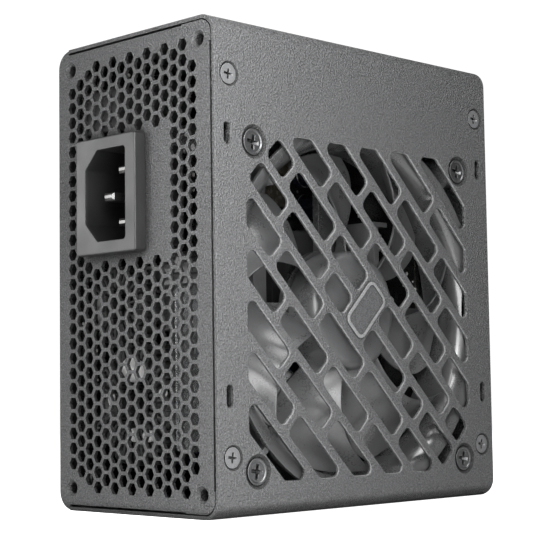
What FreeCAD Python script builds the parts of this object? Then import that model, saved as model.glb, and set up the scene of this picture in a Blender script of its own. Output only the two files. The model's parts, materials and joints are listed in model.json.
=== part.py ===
import FreeCAD, Part
import math
import os

from FreeCAD import Vector

# Small form factor modular power supply, standing on its narrow end, millimetres.
# X runs from the mains side (-X) to the socket side (+X), Y from the fan side (-Y) to the
# back wall (+Y), Z is up. The origin is the centre of the casing's bottom face.

# ---------------------------------------------------------------- casing
DEPTH = 109.4            # casing along X
THICK = 63.5             # casing along Y
TALL = 125.0             # casing along Z
SHEET = 1.0              # steel sheet
BEND = 5.0               # outer radius of the long bends
END_BEND = 1.2           # outer radius where the end panels meet the back wall
COAT_EDGE = 0.4          # rounding of the openings' edges under the coating
END_EDGE = 0.25          # rounding of the cover's outer end edges
FIT_GAP = 0.35           # between a corner tab and the cover
PANEL_GAP = 0.75         # between the rest of an end panel and the cover

X_MAINS = -DEPTH / 2
X_SOCKETS = DEPTH / 2
Y_FAN = -THICK / 2
Y_BACK = THICK / 2
COVER_INNER_Y = Y_FAN + SHEET
BACK_INNER_Y = Y_BACK - SHEET
COVER_REACH_Y = Y_BACK - BEND - 0.1     # where the cover's top and bottom walls stop
TAB_ALONG_Y = 11.0                      # corner tabs of an end panel, along its short edges
TAB_ALONG_Z = 7.0                       # and along its long edges
FLANGE_WIDTH = 8.0                      # screw flanges behind the fan face
FLANGE_END = 9.0                        # their distance from the top and bottom
LEDGE_LENGTH = 9.0                      # ledges of the back wall under the cover's walls

# rear mounting holes
REAR_HOLE_Y = 25.75
REAR_HOLE_Z = 56.5                      # above and below the middle
REAR_HOLE_R = 1.45
REAR_DIMPLE_R = 2.3
REAR_COLLAR_R = 2.5
REAR_COLLAR_DEPTH = 3.0

# hexagon vents of the exhaust panel
HEX_PITCH = 4.0
HEX_FLATS = 3.1
HEX_COLUMNS = 15
HEX_MIDDLE_Y = 0.85
HEX_STEP_Y = HEX_PITCH * math.sqrt(3) / 2

# ---------------------------------------------------------------- fan face
FAN_Z = 52.5
FAN_SCREW_PITCH = 82.5
GRILLE_LANES = 12
LANE_PITCH = 9.1
LANE_WIDTH = 6.75
CROSS_BAR = 2.2
CELL_CORNER = 1.9
GRILLE_HALF = 44.0
GRILLE_CORNER = 53.3                    # distance of the clipped corners from the middle
CELL_STEP = 10.9                        # half a cell's pitch along a lane
LAND_HALF = 5.4                         # solid land of the badge, along the lanes
BADGE_LONG = 15.8
BADGE_WIDE = 8.9
BADGE_CORNER = 2.5
BADGE_RISE = 0.35
BADGE_RIM = 1.0                         # width of the raised border around the plate
BADGE_DISH = 0.18                       # depth of the plate inside its border
RECESS_TURN = 8.0                       # degrees the screws' cross recesses are turned by

COVER_SCREW_IN = 5.0                    # from the left and right edges of the fan face
COVER_SCREW_Z = (15.0, 110.0)
COVER_HEAD_R = 2.6
COVER_SINK_R = 3.2                      # mouth of the countersink
COVER_HEAD_DROP = 0.3                   # head below the fan face
COVER_SHANK_R = 1.45
COVER_SCREW_LONG = 5.4
COVER_CROSS = 1.45                      # reach and depth of the cross recess
COVER_CROSS_DEEP = 1.1
SLOT_IN = 4.2
SLOT_Z = (30.0, 95.0)
SLOT_SIZE = (2.0, 5.5)
SLOT_END = 0.9                          # rounding of a slot's ends

# ---------------------------------------------------------------- fan
FAN_SIZE = 92.0
FAN_DEEP = 15.0
FAN_FRONT_Y = COVER_INNER_Y + 0.3
FAN_REAR_Y = FAN_FRONT_Y + FAN_DEEP
THROAT_R = 44.5
FLARE_R = 50.8
FLARE_DEEP = 6.3
DUCT_WALL = 1.2
POST_R = 4.3
FAN_SINK_R = 4.4                        # mouth of the fan screws' countersinks
FAN_SCREW_HEAD_R = 3.4
FAN_SCREW_RIM = 0.35
FAN_SCREW_DROP = 0.2
FAN_SCREW_SHANK_R = 1.75
FAN_SCREW_LONG = 11.0
FAN_HEAD_EDGE = 0.2                     # rounding of the head's rim
FAN_HEAD_LIP = 0.5                      # rim around the head's dish
FAN_HEAD_DISH = 0.25
FAN_CROSS = 2.2
FAN_CROSS_DEEP = 1.6
FAN_CORNER = 4.0
FAN_PLATE = 2.4                         # rear plate of the fan frame
RIB_THICK = 1.6
STRUT_WIDTHS = ((90, 6.0), (0, 4.0), (180, 4.0), (270, 4.0))
MOTOR_SEAT_R = 17.0
BUSH_R = 4.0
CABLE_SLOT = 3.0
BUSH_FLOOR = 0.6                        # closed end of the bearing's tube
HUB_R = 16.2
HUB_WALL = 0.9
YOKE_WALL = 0.8
HUB_TOP_Y = FAN_FRONT_Y + 2.0
ROTOR_REAR_Y = FAN_FRONT_Y + 12.0
BLADES = 7
BLADE_TIP_R = 43.5
BLADE_THICK = 1.1
BLADE_CAMBER = 1.6
BLADE_FRONT_Y = FAN_FRONT_Y + 3.2
BLADE_REAR_Y = ROTOR_REAR_Y - 0.1
BLADE_MIDDLE = -8.0                     # degrees, mean direction of a blade
MAGNET_WALL = 2.1
SHAFT_R = 1.5
RUNNING_GAP = 0.03
BEARING_TUBE_R = 4.7
STRUT_THICK = 2.2
FAN_CABLE_R = 0.9

# ---------------------------------------------------------------- mains inlet
INLET_Y = 6.9
INLET_Z = 82.8
INLET_FLANGE = (3.5, 24.3, 30.8)
INLET_BODY = (15.2, 20.0, 27.4)
INLET_CAVITY = (16.5, 16.5, 24.3)
INLET_CHAMFER = 5.0
INLET_ROOM = 0.3                        # around the inlet's body in the panel
PIN_SIZE = (22.5, 4.0, 2.0)
PIN_TIP_RECESS = 4.3
PIN_SPREAD = 7.0
PIN_OFFSET = 2.0
PIN_POINT = 0.6                         # chamfer of a pin's tip
EARTH_OFFSET = 2.5
EARTH_LEAD = 1.2                        # the earth pin reaches further out
INLET_FACE_X = X_MAINS - INLET_FLANGE[0]

# ---------------------------------------------------------------- boards
BOARD = 1.6
BOARD_Y = 24.6                          # component side of the main board
SOLDER_Y = BOARD_Y + BOARD
BOARD_X = (-51.4, 41.6)
BOARD_Z = (3.0, 122.0)
BOARD_SCREWS = [(x, z) for x in (-48.0, 38.0) for z in (8.2, 116.8)]
BOARD_HOLE_R = 1.6
STANDOFF_R = 3.0
STANDOFF_PRESS_R = 2.1                  # pressed into the back wall
STANDOFF_BORE_R = 1.3
BOARD_HEAD_R = 2.8
BOARD_HEAD_TALL = 1.9
BOARD_SHANK_R = 1.25
BOARD_SCREW_REACH = 3.5                 # past the solder side
INSULATION_Y = (29.2, 29.6)
BAFFLE_X = (-53.0, -27.0)
BAFFLE_Z = (16.0, 58.0)
BAFFLE_THICK = 0.45
BAFFLE_BEHIND_FAN = 0.55
MODULAR_X = 42.0
MODULAR_Y = (-14.3, 24.3)
MODULAR_Z = (4.0, 121.0)
FILTER_BOARD_X = -35.6

# ---------------------------------------------------------------- modular sockets
SOCKET_FRONT_X = X_SOCKETS - 0.2
SOCKET_PITCH = 4.2
SOCKET_HIGH = 9.6
SOCKET_ROW_Y = (1.2, 16.4)              # inner row nearest the fan, outer row
SOCKET_GAP = 3.2
CELL_SIZE = 3.5
POWER_PITCH = 3.0
POWER_CELL = 2.5
POWER_HIGH = 8.6
SOCKET_WALL = 1.2
SOCKET_FLOOR = 1.6                      # behind the cells
CELL_BEVEL = 0.8
LATCH_RISE = 1.8
LATCH_WIDE = 6.0
PIN_WIDE = 1.1
POWER_PIN_WIDE = 0.8
CONTACT_RECESS = 3.2                    # contact pins below the socket's mouth
CONTACT_POINT = 0.3


# ================================================================ helpers
def box(x, y, z):
    """Block between two limits along each axis."""
    return Part.makeBox(x[1] - x[0], y[1] - y[0], z[1] - z[0], Vector(x[0], y[0], z[0]))


def around(middle, size):
    """The two limits of a length centred on a value."""
    return (middle - size / 2, middle + size / 2)


def rod(radius, start, end):
    """Cylinder between two points."""
    return Part.makeCylinder(radius, (end - start).Length, start, end - start)


def tube(outer, inner, start, end):
    """Hollow cylinder between two points."""
    return rod(outer, start, end).cut(rod(inner, start, end))


def cone(first, second, start, end):
    """Cone between two points, given its radius at each."""
    return Part.makeCone(first, second, (end - start).Length, start, end - start)


def joined(shapes):
    """One clean shape out of several that meet."""
    return shapes[0].fuse(shapes[1:]).removeSplitter()


def without(shape, tools):
    """A shape with others cut away."""
    return shape.cut(tools).removeSplitter()


def soft_outline(corners, radius):
    """Closed wire through the corners, each rounded as far as its sides allow."""
    turns = []
    for index, corner in enumerate(corners):
        back = corners[index - 1] - corner
        ahead = corners[(index + 1) % len(corners)] - corner
        half = back.getAngle(ahead) / 2
        room = 0.48 * min(back.Length, ahead.Length)
        cut = min(radius / math.tan(half), room)
        turn_radius = cut * math.tan(half)
        back.normalize()
        ahead.normalize()
        inward = back + ahead
        inward.normalize()
        middle = corner + inward * (turn_radius / math.sin(half) - turn_radius)
        turns.append((corner + back * cut, middle, corner + ahead * cut))
    edges = []
    for index, (start, middle, end) in enumerate(turns):
        edges.append(Part.Arc(start, middle, end).toShape())
        edges.append(Part.makeLine(end, turns[(index + 1) % len(turns)][0]))
    return Part.Wire(edges)


def soft_block(x, y, z, axis, radius):
    """Block whose edges along one axis are rounded."""
    block = box(x, y, z)
    return block.makeFillet(radius, edges_along(block, axis))


def edges_along(shape, axis):
    """Straight edges parallel to an axis."""
    found = []
    for edge in shape.Edges:
        if isinstance(edge.Curve, Part.Line) and abs(abs(edge.Curve.Direction.dot(axis)) - 1) < 1e-6:
            found.append(edge)
    return found


def edges_at(shape, test):
    """Edges whose middle passes a test."""
    return [edge for edge in shape.Edges if test(edge.CenterOfMass)]


def wire_tube(points, radius, bend):
    """Wire or cable: straight runs joined by tangent arcs."""
    edges = []
    last = points[0]
    for before, corner, after in zip(points, points[1:], points[2:]):
        back = before - corner
        ahead = after - corner
        half = back.getAngle(ahead) / 2
        cut = min(bend / math.tan(half), 0.45 * min(back.Length, ahead.Length))
        turn_radius = cut * math.tan(half)
        back.normalize()
        ahead.normalize()
        inward = back + ahead
        inward.normalize()
        start = corner + back * cut
        end = corner + ahead * cut
        middle = corner + inward * (turn_radius / math.sin(half) - turn_radius)
        edges.append(Part.makeLine(last, start))
        edges.append(Part.Arc(start, middle, end).toShape())
        last = end
    edges.append(Part.makeLine(last, points[-1]))
    path = Part.Wire(edges)
    section = Part.Wire(Part.makeCircle(radius, points[0], points[1] - points[0]))
    return path.makePipeShell([section], True, True)


X = Vector(1, 0, 0)
Y = Vector(0, 1, 0)
Z = Vector(0, 0, 1)


# ================================================================ casing
def rear_holes():
    """Centres of the four rear mounting holes."""
    middle = TALL / 2
    return [(y, z) for y in (-REAR_HOLE_Y, REAR_HOLE_Y) for z in (middle - REAR_HOLE_Z, middle + REAR_HOLE_Z)]


def cover_screw_places():
    """Centres of the cover screws in the fan face."""
    edge = DEPTH / 2 - COVER_SCREW_IN
    return [(x, z) for x in (-edge, edge) for z in COVER_SCREW_Z]


def fan_screw_places():
    """Centres of the fan screws in the fan face."""
    half = FAN_SCREW_PITCH / 2
    return [(x, z) for x in (-half, half) for z in (FAN_Z - half, FAN_Z + half)]


def slot_places():
    """Centres of the narrow slots in the fan face."""
    edge = DEPTH / 2 - SLOT_IN
    return [(x, z) for x in (-edge, edge) for z in SLOT_Z]


def hexagon(y, z):
    """Outline of one vent, corners pointing sideways."""
    reach = HEX_FLATS / math.sqrt(3)
    corners = []
    for turn in range(7):
        angle = turn * math.pi / 3
        corners.append(Vector(X_MAINS, y + reach * math.cos(angle), z + reach * math.sin(angle)))
    return Part.makePolygon(corners)


def vent_places():
    """Centres of the vents: a close-packed field with room left for the mains inlet."""
    middle = TALL / 2
    places = []
    for column in range(HEX_COLUMNS):
        even = column % 2 == 0
        y = HEX_MIDDLE_Y - (column - HEX_COLUMNS // 2) * HEX_STEP_Y
        if column in (0, HEX_COLUMNS - 1):
            reach = 50.0
        elif column == 1:
            reach = 52.0
        else:
            reach = 54.0 if even else 56.0
        steps = int(reach // HEX_PITCH)
        for step in range(-steps - 1, steps + 2):
            rise = step * HEX_PITCH + (HEX_PITCH / 2 if even else 0.0)
            z = middle + rise
            beside_inlet = column == 1 and (z >= 98.0 or z <= 67.0)
            low, high = (64.5, 100.5) if even else (62.5, 102.5)
            blocked = 1 <= column <= 11 and low + 0.1 < z < high - 0.1 and not beside_inlet
            if abs(rise) <= reach + 0.1 and not blocked:
                places.append((y, z))
    return places


def end_panel_outline(x):
    """Outline of an end panel: round back corners, and tabs that reach the cover at the fan side."""
    tab_top = TALL - SHEET - FIT_GAP
    edge_top = TALL - SHEET - PANEL_GAP + 0.1
    tab_y = COVER_INNER_Y + FIT_GAP
    edge_y = COVER_INNER_Y + PANEL_GAP
    tab_in = COVER_INNER_Y + TAB_ALONG_Y
    upper = [
        Vector(x, Y_BACK, TALL),
        Vector(x, COVER_REACH_Y, TALL),
        Vector(x, COVER_REACH_Y, edge_top),
        Vector(x, tab_in, edge_top),
        Vector(x, tab_in, tab_top),
        Vector(x, tab_y, tab_top),
        Vector(x, tab_y, TALL - TAB_ALONG_Z),
        Vector(x, edge_y, TALL - TAB_ALONG_Z),
    ]
    lower = [Vector(x, point.y, TALL - point.z) for point in reversed(upper)]
    return upper + lower


def end_panel(x, inward):
    """One end panel as a plate, its outer face at x."""
    corners = end_panel_outline(x)
    plate = Part.Face(Part.makePolygon(corners + corners[:1])).extrude(X * (SHEET * inward))
    middle_x = x + SHEET * inward / 2
    corners = edges_at(plate, lambda at: abs(at.x - middle_x) < 0.01 and not 2 < at.z < TALL - 2)
    back = [edge for edge in corners if edge.CenterOfMass.y > Y_BACK - 0.1]
    plate = plate.makeFillet(BEND, back)
    tab_y = COVER_INNER_Y + FIT_GAP + 0.1
    corners = edges_at(plate, lambda at: abs(at.x - middle_x) < 0.01 and not 2 < at.z < TALL - 2)
    return plate.makeFillet(BEND - SHEET - FIT_GAP, [edge for edge in corners if edge.CenterOfMass.y < tab_y])


def back_tray():
    """Back wall with its long bends, and the ledges that run under the cover's walls."""
    length = (X_MAINS, X_SOCKETS)
    shell = box(length, (COVER_REACH_Y, Y_BACK), (0, TALL))
    shell = shell.makeFillet(BEND, edges_at(shell, lambda at: at.y > Y_BACK - 0.1 and abs(at.x) < 1
                                            and not 1 < at.z < TALL - 1))
    hollow = box((length[0] - 1, length[1] + 1), (COVER_REACH_Y - 5, BACK_INNER_Y), (SHEET, TALL - SHEET))
    hollow = hollow.makeFillet(BEND - SHEET, edges_at(hollow, lambda at: at.y > BACK_INNER_Y - 0.1
                                                      and abs(at.x) < 1 and not 2 < at.z < TALL - 2))
    parts = [shell.cut(hollow)]
    inside = (X_MAINS + SHEET + 0.5, X_SOCKETS - SHEET - 0.5)
    for side in (0, 1):
        low = SHEET + 0.1 if side == 0 else TALL - 2 * SHEET - 0.1
        parts.append(box(inside, (COVER_REACH_Y - LEDGE_LENGTH, COVER_REACH_Y + 2.2), (low, low + SHEET)))
    return joined(parts)


BOSS_R = 3.0                            # bosses of the cover screws
BOSS_RISE = 1.2                         # behind the flange
HOLE_ROOM = 0.05                        # between a screw and its hole, on the radius
SCREW_END_ROOM = 0.6                    # thread left past a screw's tip


def screw_flange(x, inward):
    """Flange behind the fan face, joined to an end panel."""
    near = COVER_INNER_Y + PANEL_GAP
    far = x + inward * FLANGE_WIDTH
    flange = box((min(x, far), max(x, far)), (near, near + SHEET), (FLANGE_END, TALL - FLANGE_END))
    bosses = []
    for screw_x, screw_z in cover_screw_places():
        if screw_x * x > 0:
            bosses.append(rod(BOSS_R, Vector(screw_x, COVER_INNER_Y + HOLE_ROOM, screw_z),
                              Vector(screw_x, near + SHEET + BOSS_RISE, screw_z)))
    return joined([flange] + bosses)


def cover_screw_room(x, z):
    """Space of one countersunk cover screw through the cover and the flange."""
    hole_r = COVER_SHANK_R + HOLE_ROOM
    top = Vector(x, Y_FAN, z)
    head = cone(COVER_SINK_R, hole_r, top, top + Y * (COVER_SINK_R - hole_r))
    return head.fuse(rod(hole_r, top, top + Y * (COVER_SCREW_LONG + SCREW_END_ROOM)))


SOCKET_ROOM = 0.25                      # around each socket in its cut-out
SLOT_BEHIND = 2.0                       # how much larger the flange is cut behind a slot


def socket_cutouts():
    """Cut-outs of the connector panel, one for each socket."""
    room = SOCKET_ROOM
    cuts = []
    for y, z, width, height in socket_boxes():
        cuts.append(box((X_SOCKETS - 3, X_SOCKETS + 1), around(y, height + 2 * room),
                        around(z, width + 2 * room)))
        cuts.append(latch_box(y, z, width, height, room))
    return cuts


def build_base_shell():
    """Folded base: exhaust panel, back wall and connector panel, with the screw flanges."""
    mains = end_panel(X_MAINS, 1)
    sockets = end_panel(X_SOCKETS, -1)
    shell = joined([back_tray(), mains, sockets])
    rim = [edge for edge in shell.Edges
           if abs(abs(edge.CenterOfMass.x) - DEPTH / 2) < 0.01 and edge.CenterOfMass.y > Y_BACK - BEND + 0.2
           and edge.BoundBox.XLength < 0.01]
    shell = shell.makeFillet(END_BEND, rim)
    shell = joined([shell, screw_flange(X_MAINS, 1), screw_flange(X_SOCKETS, -1)])

    cuts = []
    for y, z in vent_places():
        cuts.append(Part.Face(hexagon(y, z)).extrude(X * SHEET))
    holes = Part.makeCompound(cuts)
    shell = shell.cut(holes)

    collars = []
    for y, z in rear_holes():
        collars.append(rod(REAR_COLLAR_R, Vector(X_MAINS + SHEET / 2, y, z),
                           Vector(X_MAINS + REAR_COLLAR_DEPTH, y, z)))
    shell = joined([shell] + collars)
    cuts = []
    for y, z in rear_holes():
        mouth = Vector(X_MAINS, y, z)
        cuts.append(rod(REAR_HOLE_R, mouth - X, mouth + X * (REAR_COLLAR_DEPTH + 1)))
        cuts.append(cone(REAR_DIMPLE_R, REAR_HOLE_R, mouth, mouth + X * (REAR_DIMPLE_R - REAR_HOLE_R)))
    cuts.append(box((X_MAINS - 1, X_MAINS + SHEET + 1), around(INLET_Y, INLET_BODY[1] + INLET_ROOM),
                    around(INLET_Z, INLET_BODY[2] + INLET_ROOM)))
    for x, z in slot_places():
        cuts.append(box(around(x, SLOT_SIZE[0] + SLOT_BEHIND), (COVER_INNER_Y, COVER_INNER_Y + 4),
                        around(z, SLOT_SIZE[1] + SLOT_BEHIND)))
    for x, z in cover_screw_places():
        cuts.append(cover_screw_room(x, z))
    for x, z in BOARD_SCREWS:
        cuts.append(rod(STANDOFF_PRESS_R, Vector(x, BACK_INNER_Y - 1, z), Vector(x, Y_BACK + 1, z)))
    return without(shell, cuts + socket_cutouts())


def lane_point(along, across):
    """Point of the fan face from its place along and across the slanted lanes."""
    root = math.sqrt(2)
    return Vector((along - across) / root, 0, FAN_Z + (-along - across) / root)


def lane_bars(lane):
    """Places of the cross bars along one lane, as (start, end) of solid metal."""
    half = CROSS_BAR / 2
    steps = {1: [], 2: [0], 3: [-1, 1], 4: [-2, 0, 2], 5: [-3, -1, 1, 3]}
    if lane == 6:
        bars = [-43.6, -21.8, 21.8, 43.6]
    elif lane == 7:
        bars = [-38.0, -16.5, 25.8, 36.1]
    else:
        bars = [CELL_STEP * step for step in steps[min(lane, GRILLE_LANES + 1 - lane)]]
    solid = [(bar - half, bar + half) for bar in bars]
    if lane in (6, 7):
        solid.append((-LAND_HALF, LAND_HALF))
    return sorted(solid)


def clipped(corners, normal, limit):
    """Part of an outline on the near side of a line."""
    kept = []
    for first, second in zip(corners, corners[1:] + corners[:1]):
        depth_first = limit - first.dot(normal)
        depth_second = limit - second.dot(normal)
        if depth_first >= 0:
            kept.append(first)
        if depth_first * depth_second < 0:
            kept.append(first + (second - first) * (depth_first / (depth_first - depth_second)))
    return kept


def grille_cells():
    """Outlines of the grille's openings: slanted lanes, clipped to a square with cut corners."""
    cells = []
    for lane in range(1, GRILLE_LANES + 1):
        across = (lane - (GRILLE_LANES + 1) / 2) * LANE_PITCH
        solid = [(-99, -GRILLE_CORNER)] + lane_bars(lane) + [(GRILLE_CORNER, 99)]
        for (_, start), (end, _) in zip(solid, solid[1:]):
            near, far = across - LANE_WIDTH / 2, across + LANE_WIDTH / 2
            cell = [lane_point(start, near), lane_point(end, near),
                    lane_point(end, far), lane_point(start, far)]
            for normal, middle in ((X, 0), (-X, 0), (Z, FAN_Z), (-Z, -FAN_Z)):
                cell = clipped(cell, normal, GRILLE_HALF + middle)
            if len(cell) > 2:
                cells.append([point + Y * Y_FAN for point in cell])
    return cells


def on_cover_outside(at):
    """Whether a point lies in the outer half of the cover's sheet."""
    near = SHEET / 2
    return at.y < Y_FAN + near or at.z < near or at.z > TALL - near or near_outer_bend(at)


def near_outer_bend(at):
    """Whether a point lies on the outer half of one of the cover's bends."""
    bend_y = Y_FAN + BEND
    rise = max(BEND - at.z, at.z - (TALL - BEND))
    return at.y < bend_y and rise > 0 and math.hypot(bend_y - at.y, rise) > BEND - SHEET / 2


def build_fan_cover():
    """U-shaped cover: fan face with the grille, top wall and bottom wall."""
    cover = box((X_MAINS, X_SOCKETS), (Y_FAN, COVER_REACH_Y), (0, TALL))
    cover = cover.makeFillet(BEND, edges_at(cover, lambda at: at.y < Y_FAN + 0.1 and abs(at.x) < 1))
    room = box((X_MAINS - 1, X_SOCKETS + 1), (COVER_INNER_Y, Y_BACK), (SHEET, TALL - SHEET))
    room = room.makeFillet(BEND - SHEET, edges_at(room, lambda at: at.y < COVER_INNER_Y + 0.1
                                                  and abs(at.x) < 1))
    cover = cover.cut(room)
    cuts = []
    for cell in grille_cells():
        cuts.append(Part.Face(soft_outline(cell, CELL_CORNER)).extrude(Y * SHEET))
    for x, z in slot_places():
        cuts.append(soft_block(around(x, SLOT_SIZE[0]), (Y_FAN, COVER_INNER_Y), around(z, SLOT_SIZE[1]),
                               Y, SLOT_END))
    cover = cover.cut(cuts)
    inside = (X_SOCKETS - 1, TALL / 2 - BEND - 1)
    rims = [edge for edge in cover.Edges if edge.BoundBox.YMax < Y_FAN + 0.01
            and abs(edge.CenterOfMass.x) < inside[0] and abs(edge.CenterOfMass.z - TALL / 2) < inside[1]]
    cover = cover.makeFillet(COAT_EDGE, rims)
    ends = [edge for edge in cover.Edges if edge.BoundBox.XLength < 0.01
            and abs(edge.CenterOfMass.x) > X_SOCKETS - 0.01 and on_cover_outside(edge.CenterOfMass)]
    cover = cover.makeFillet(END_EDGE, ends)
    cuts = []
    for x, z in cover_screw_places():
        cuts.append(cover_screw_room(x, z))
    seat_r = FAN_SCREW_HEAD_R - (SHEET - FAN_SCREW_DROP - FAN_SCREW_RIM)
    for x, z in fan_screw_places():
        cuts.append(cone(FAN_SINK_R, seat_r + 0.02, Vector(x, Y_FAN, z), Vector(x, COVER_INNER_Y, z)))
    return without(cover, cuts)


def build_badge_plate():
    """Blank raised plate with a border, on the land in the middle of the grille."""
    front = Y_FAN - BADGE_RISE
    layers = []
    for inset, depth in ((0, BADGE_RISE), (BADGE_RIM, BADGE_DISH)):
        half_wide = BADGE_WIDE / 2 - inset
        half_long = BADGE_LONG / 2 - inset
        corners = [lane_point(along * half_wide, across * half_long) + Y * front
                   for along, across in ((-1, -1), (1, -1), (1, 1), (-1, 1))]
        layers.append(Part.Face(soft_outline(corners, BADGE_CORNER - inset)).extrude(Y * depth))
    plate = layers[0].makeFillet(BADGE_RISE * 0.7, edges_at(layers[0], lambda at: at.y < front + 0.01))
    return plate.cut(layers[1])


def cross_recess(x, y, z, size, depth):
    """Cross recess of a screw head, pointing along +Y from the face at y, narrower at its floor."""
    blades = []
    mouth, floor = 0.25 * size, 0.16 * size
    reach = 0.45 * size
    for turn in (0, 90):
        blade = Part.makeWedge(-size, 0, -mouth, -floor, -reach, size, depth, mouth, floor, reach)
        blade.rotate(Vector(0, 0, 0), Y, turn + RECESS_TURN)
        blade.translate(Vector(x, y, z))
        blades.append(blade)
    return blades


def build_cover_screws():
    """Four countersunk machine screws that hold the cover to the flanges."""
    screws = []
    top = Y_FAN + COVER_HEAD_DROP
    for x, z in cover_screw_places():
        deep = COVER_HEAD_R - COVER_SHANK_R
        face = Vector(x, top, z)
        screw = joined([cone(COVER_HEAD_R, COVER_SHANK_R, face, face + Y * deep),
                        rod(COVER_SHANK_R, face, face + Y * COVER_SCREW_LONG)])
        screws.append(without(screw, cross_recess(x, top, z, COVER_CROSS, COVER_CROSS_DEEP)))
    return Part.makeCompound(screws)


def build_fan_screws():
    """Four self-tapping screws with a rimmed countersunk head, which hold the fan to the cover."""
    screws = []
    top = Y_FAN + FAN_SCREW_DROP
    for x, z in fan_screw_places():
        deep = FAN_SCREW_HEAD_R - FAN_SCREW_SHANK_R
        face = Vector(x, top, z)
        seat = face + Y * FAN_SCREW_RIM
        screw = joined([rod(FAN_SCREW_HEAD_R, face, seat),
                        cone(FAN_SCREW_HEAD_R, FAN_SCREW_SHANK_R, seat, seat + Y * deep),
                        rod(FAN_SCREW_SHANK_R, face, face + Y * FAN_SCREW_LONG)])
        screw = screw.makeFillet(FAN_HEAD_EDGE, edges_at(screw, lambda at: at.y < top + 0.01))
        dish_r = FAN_SCREW_HEAD_R - FAN_HEAD_LIP
        dish = cone(dish_r, dish_r - FAN_HEAD_DISH, face, face + Y * FAN_HEAD_DISH)
        recess = cross_recess(x, top, z, FAN_CROSS, FAN_CROSS_DEEP)
        screws.append(without(screw, [dish] + recess))
    return Part.makeCompound(screws)


# ================================================================ fan
def fan_point(radius, angle, y):
    """Point at a radius and angle about the fan's axis."""
    return Vector(radius * math.cos(angle), y, FAN_Z + radius * math.sin(angle))


def on_axis(y):
    """Point of the fan's axis."""
    return Vector(0, y, FAN_Z)


def fan_duct():
    """Round duct of the fan frame, flared at its mouth."""
    flare_start = FAN_FRONT_Y + FLARE_DEEP
    outer_r = THROAT_R + DUCT_WALL
    lean = math.sqrt(0.5)
    middle = fan_point(FLARE_R - (FLARE_R - THROAT_R) * lean, 0, flare_start - FLARE_DEEP * lean)
    mouth = fan_point(FLARE_R, 0, FAN_FRONT_Y)
    lip = fan_point(FLARE_R, 0, FAN_FRONT_Y + DUCT_WALL)
    throat = fan_point(THROAT_R, 0, flare_start)
    back = fan_point(THROAT_R, 0, FAN_REAR_Y)
    outer_back = fan_point(outer_r, 0, FAN_REAR_Y)
    outer_throat = fan_point(outer_r, 0, flare_start + 1)
    profile = Part.Wire([
        Part.Arc(mouth, middle, throat).toShape(),
        Part.makeLine(throat, back),
        Part.makeLine(back, outer_back),
        Part.makeLine(outer_back, outer_throat),
        Part.Arc(outer_throat, middle + Vector(DUCT_WALL * lean, DUCT_WALL * lean, 0), lip).toShape(),
        Part.makeLine(lip, mouth),
    ])
    return Part.Face(profile).revolve(on_axis(0), Y, 360)


def build_fan_frame():
    """Fan frame: flared duct, rear plate, corner posts, struts and the motor's seat."""
    duct = fan_duct()
    half = FAN_SIZE / 2
    square = soft_block((-half, half), (FAN_FRONT_Y, FAN_REAR_Y), (FAN_Z - half, FAN_Z + half), Y, FAN_CORNER)
    duct = duct.common(square)
    rear = square.common(box((-half, half), (FAN_REAR_Y - FAN_PLATE, FAN_REAR_Y),
                             (FAN_Z - half, FAN_Z + half)))
    rear = rear.cut(rod(THROAT_R, on_axis(FAN_REAR_Y - 5), on_axis(FAN_REAR_Y + 5)))

    parts = [duct, rear]
    for x, z in fan_screw_places():
        parts.append(rod(POST_R, Vector(x, FAN_FRONT_Y, z), Vector(x, FAN_REAR_Y, z)))
    for turn in range(4):
        rib = box((THROAT_R + 0.5, FAN_SCREW_PITCH / math.sqrt(2) - POST_R / 2),
                  (FAN_FRONT_Y + 1, FAN_REAR_Y), around(0, RIB_THICK))
        rib.rotate(Vector(0, 0, 0), Y, 45 + 90 * turn)
        rib.translate(Vector(0, 0, FAN_Z))
        parts.append(rib)
    seat_top = FAN_REAR_Y - STRUT_THICK
    for turn, width in STRUT_WIDTHS:
        strut = box((HUB_R - 2, THROAT_R + 0.6), (seat_top, FAN_REAR_Y), around(0, width))
        strut.rotate(Vector(0, 0, 0), Y, -turn)
        strut.translate(Vector(0, 0, FAN_Z))
        parts.append(strut)
    parts.append(rod(MOTOR_SEAT_R, on_axis(seat_top), on_axis(FAN_REAR_Y)))
    parts.append(rod(BEARING_TUBE_R, on_axis(FAN_FRONT_Y + 4.6), on_axis(FAN_REAR_Y)))
    frame = joined(parts)

    cuts = [rod(BUSH_R, on_axis(FAN_FRONT_Y), on_axis(FAN_REAR_Y - BUSH_FLOOR))]
    for x, z in fan_screw_places():
        cuts.append(rod(FAN_SCREW_SHANK_R + HOLE_ROOM, Vector(x, FAN_FRONT_Y - 1, z),
                        Vector(x, FAN_REAR_Y, z)))
        cuts.append(cone(2.9, FAN_SCREW_SHANK_R, Vector(x, FAN_FRONT_Y, z), Vector(x, FAN_FRONT_Y + 1.1, z)))
    # channel for the fan cable in the wide strut and through the duct's wall
    channel_floor = FAN_REAR_Y - STRUT_THICK + 0.6
    cuts.append(box(around(0, CABLE_SLOT), (channel_floor, FAN_REAR_Y + 1), (FAN_Z + 12.9, FAN_Z + half + 1)))
    cuts.append(box(around(0, CABLE_SLOT), (seat_top - 0.1, FAN_REAR_Y + 1), (FAN_Z + 12.9, FAN_Z + 14.6)))
    return without(frame, cuts)


def leading_angle(radius):
    """Degrees of a blade's front edge at a radius: straight near the hub, swept forward at the tip."""
    return 0.03 * (radius - HUB_R) ** 2 - 3.0


def trailing_angle(radius):
    """Degrees of a blade's rear edge at a radius."""
    return 0.045 * (radius - 29.0) ** 2 - 30.0


def edge_across(station, edge_angle):
    """How far to the side a blade's edge lies in a plane across the blade at that station."""
    lean = 0.0
    for _ in range(8):
        radius = min(station / math.cos(lean), BLADE_TIP_R + 4)
        lean = math.radians(edge_angle(radius) - BLADE_MIDDLE)
    return station * math.tan(lean)


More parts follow.
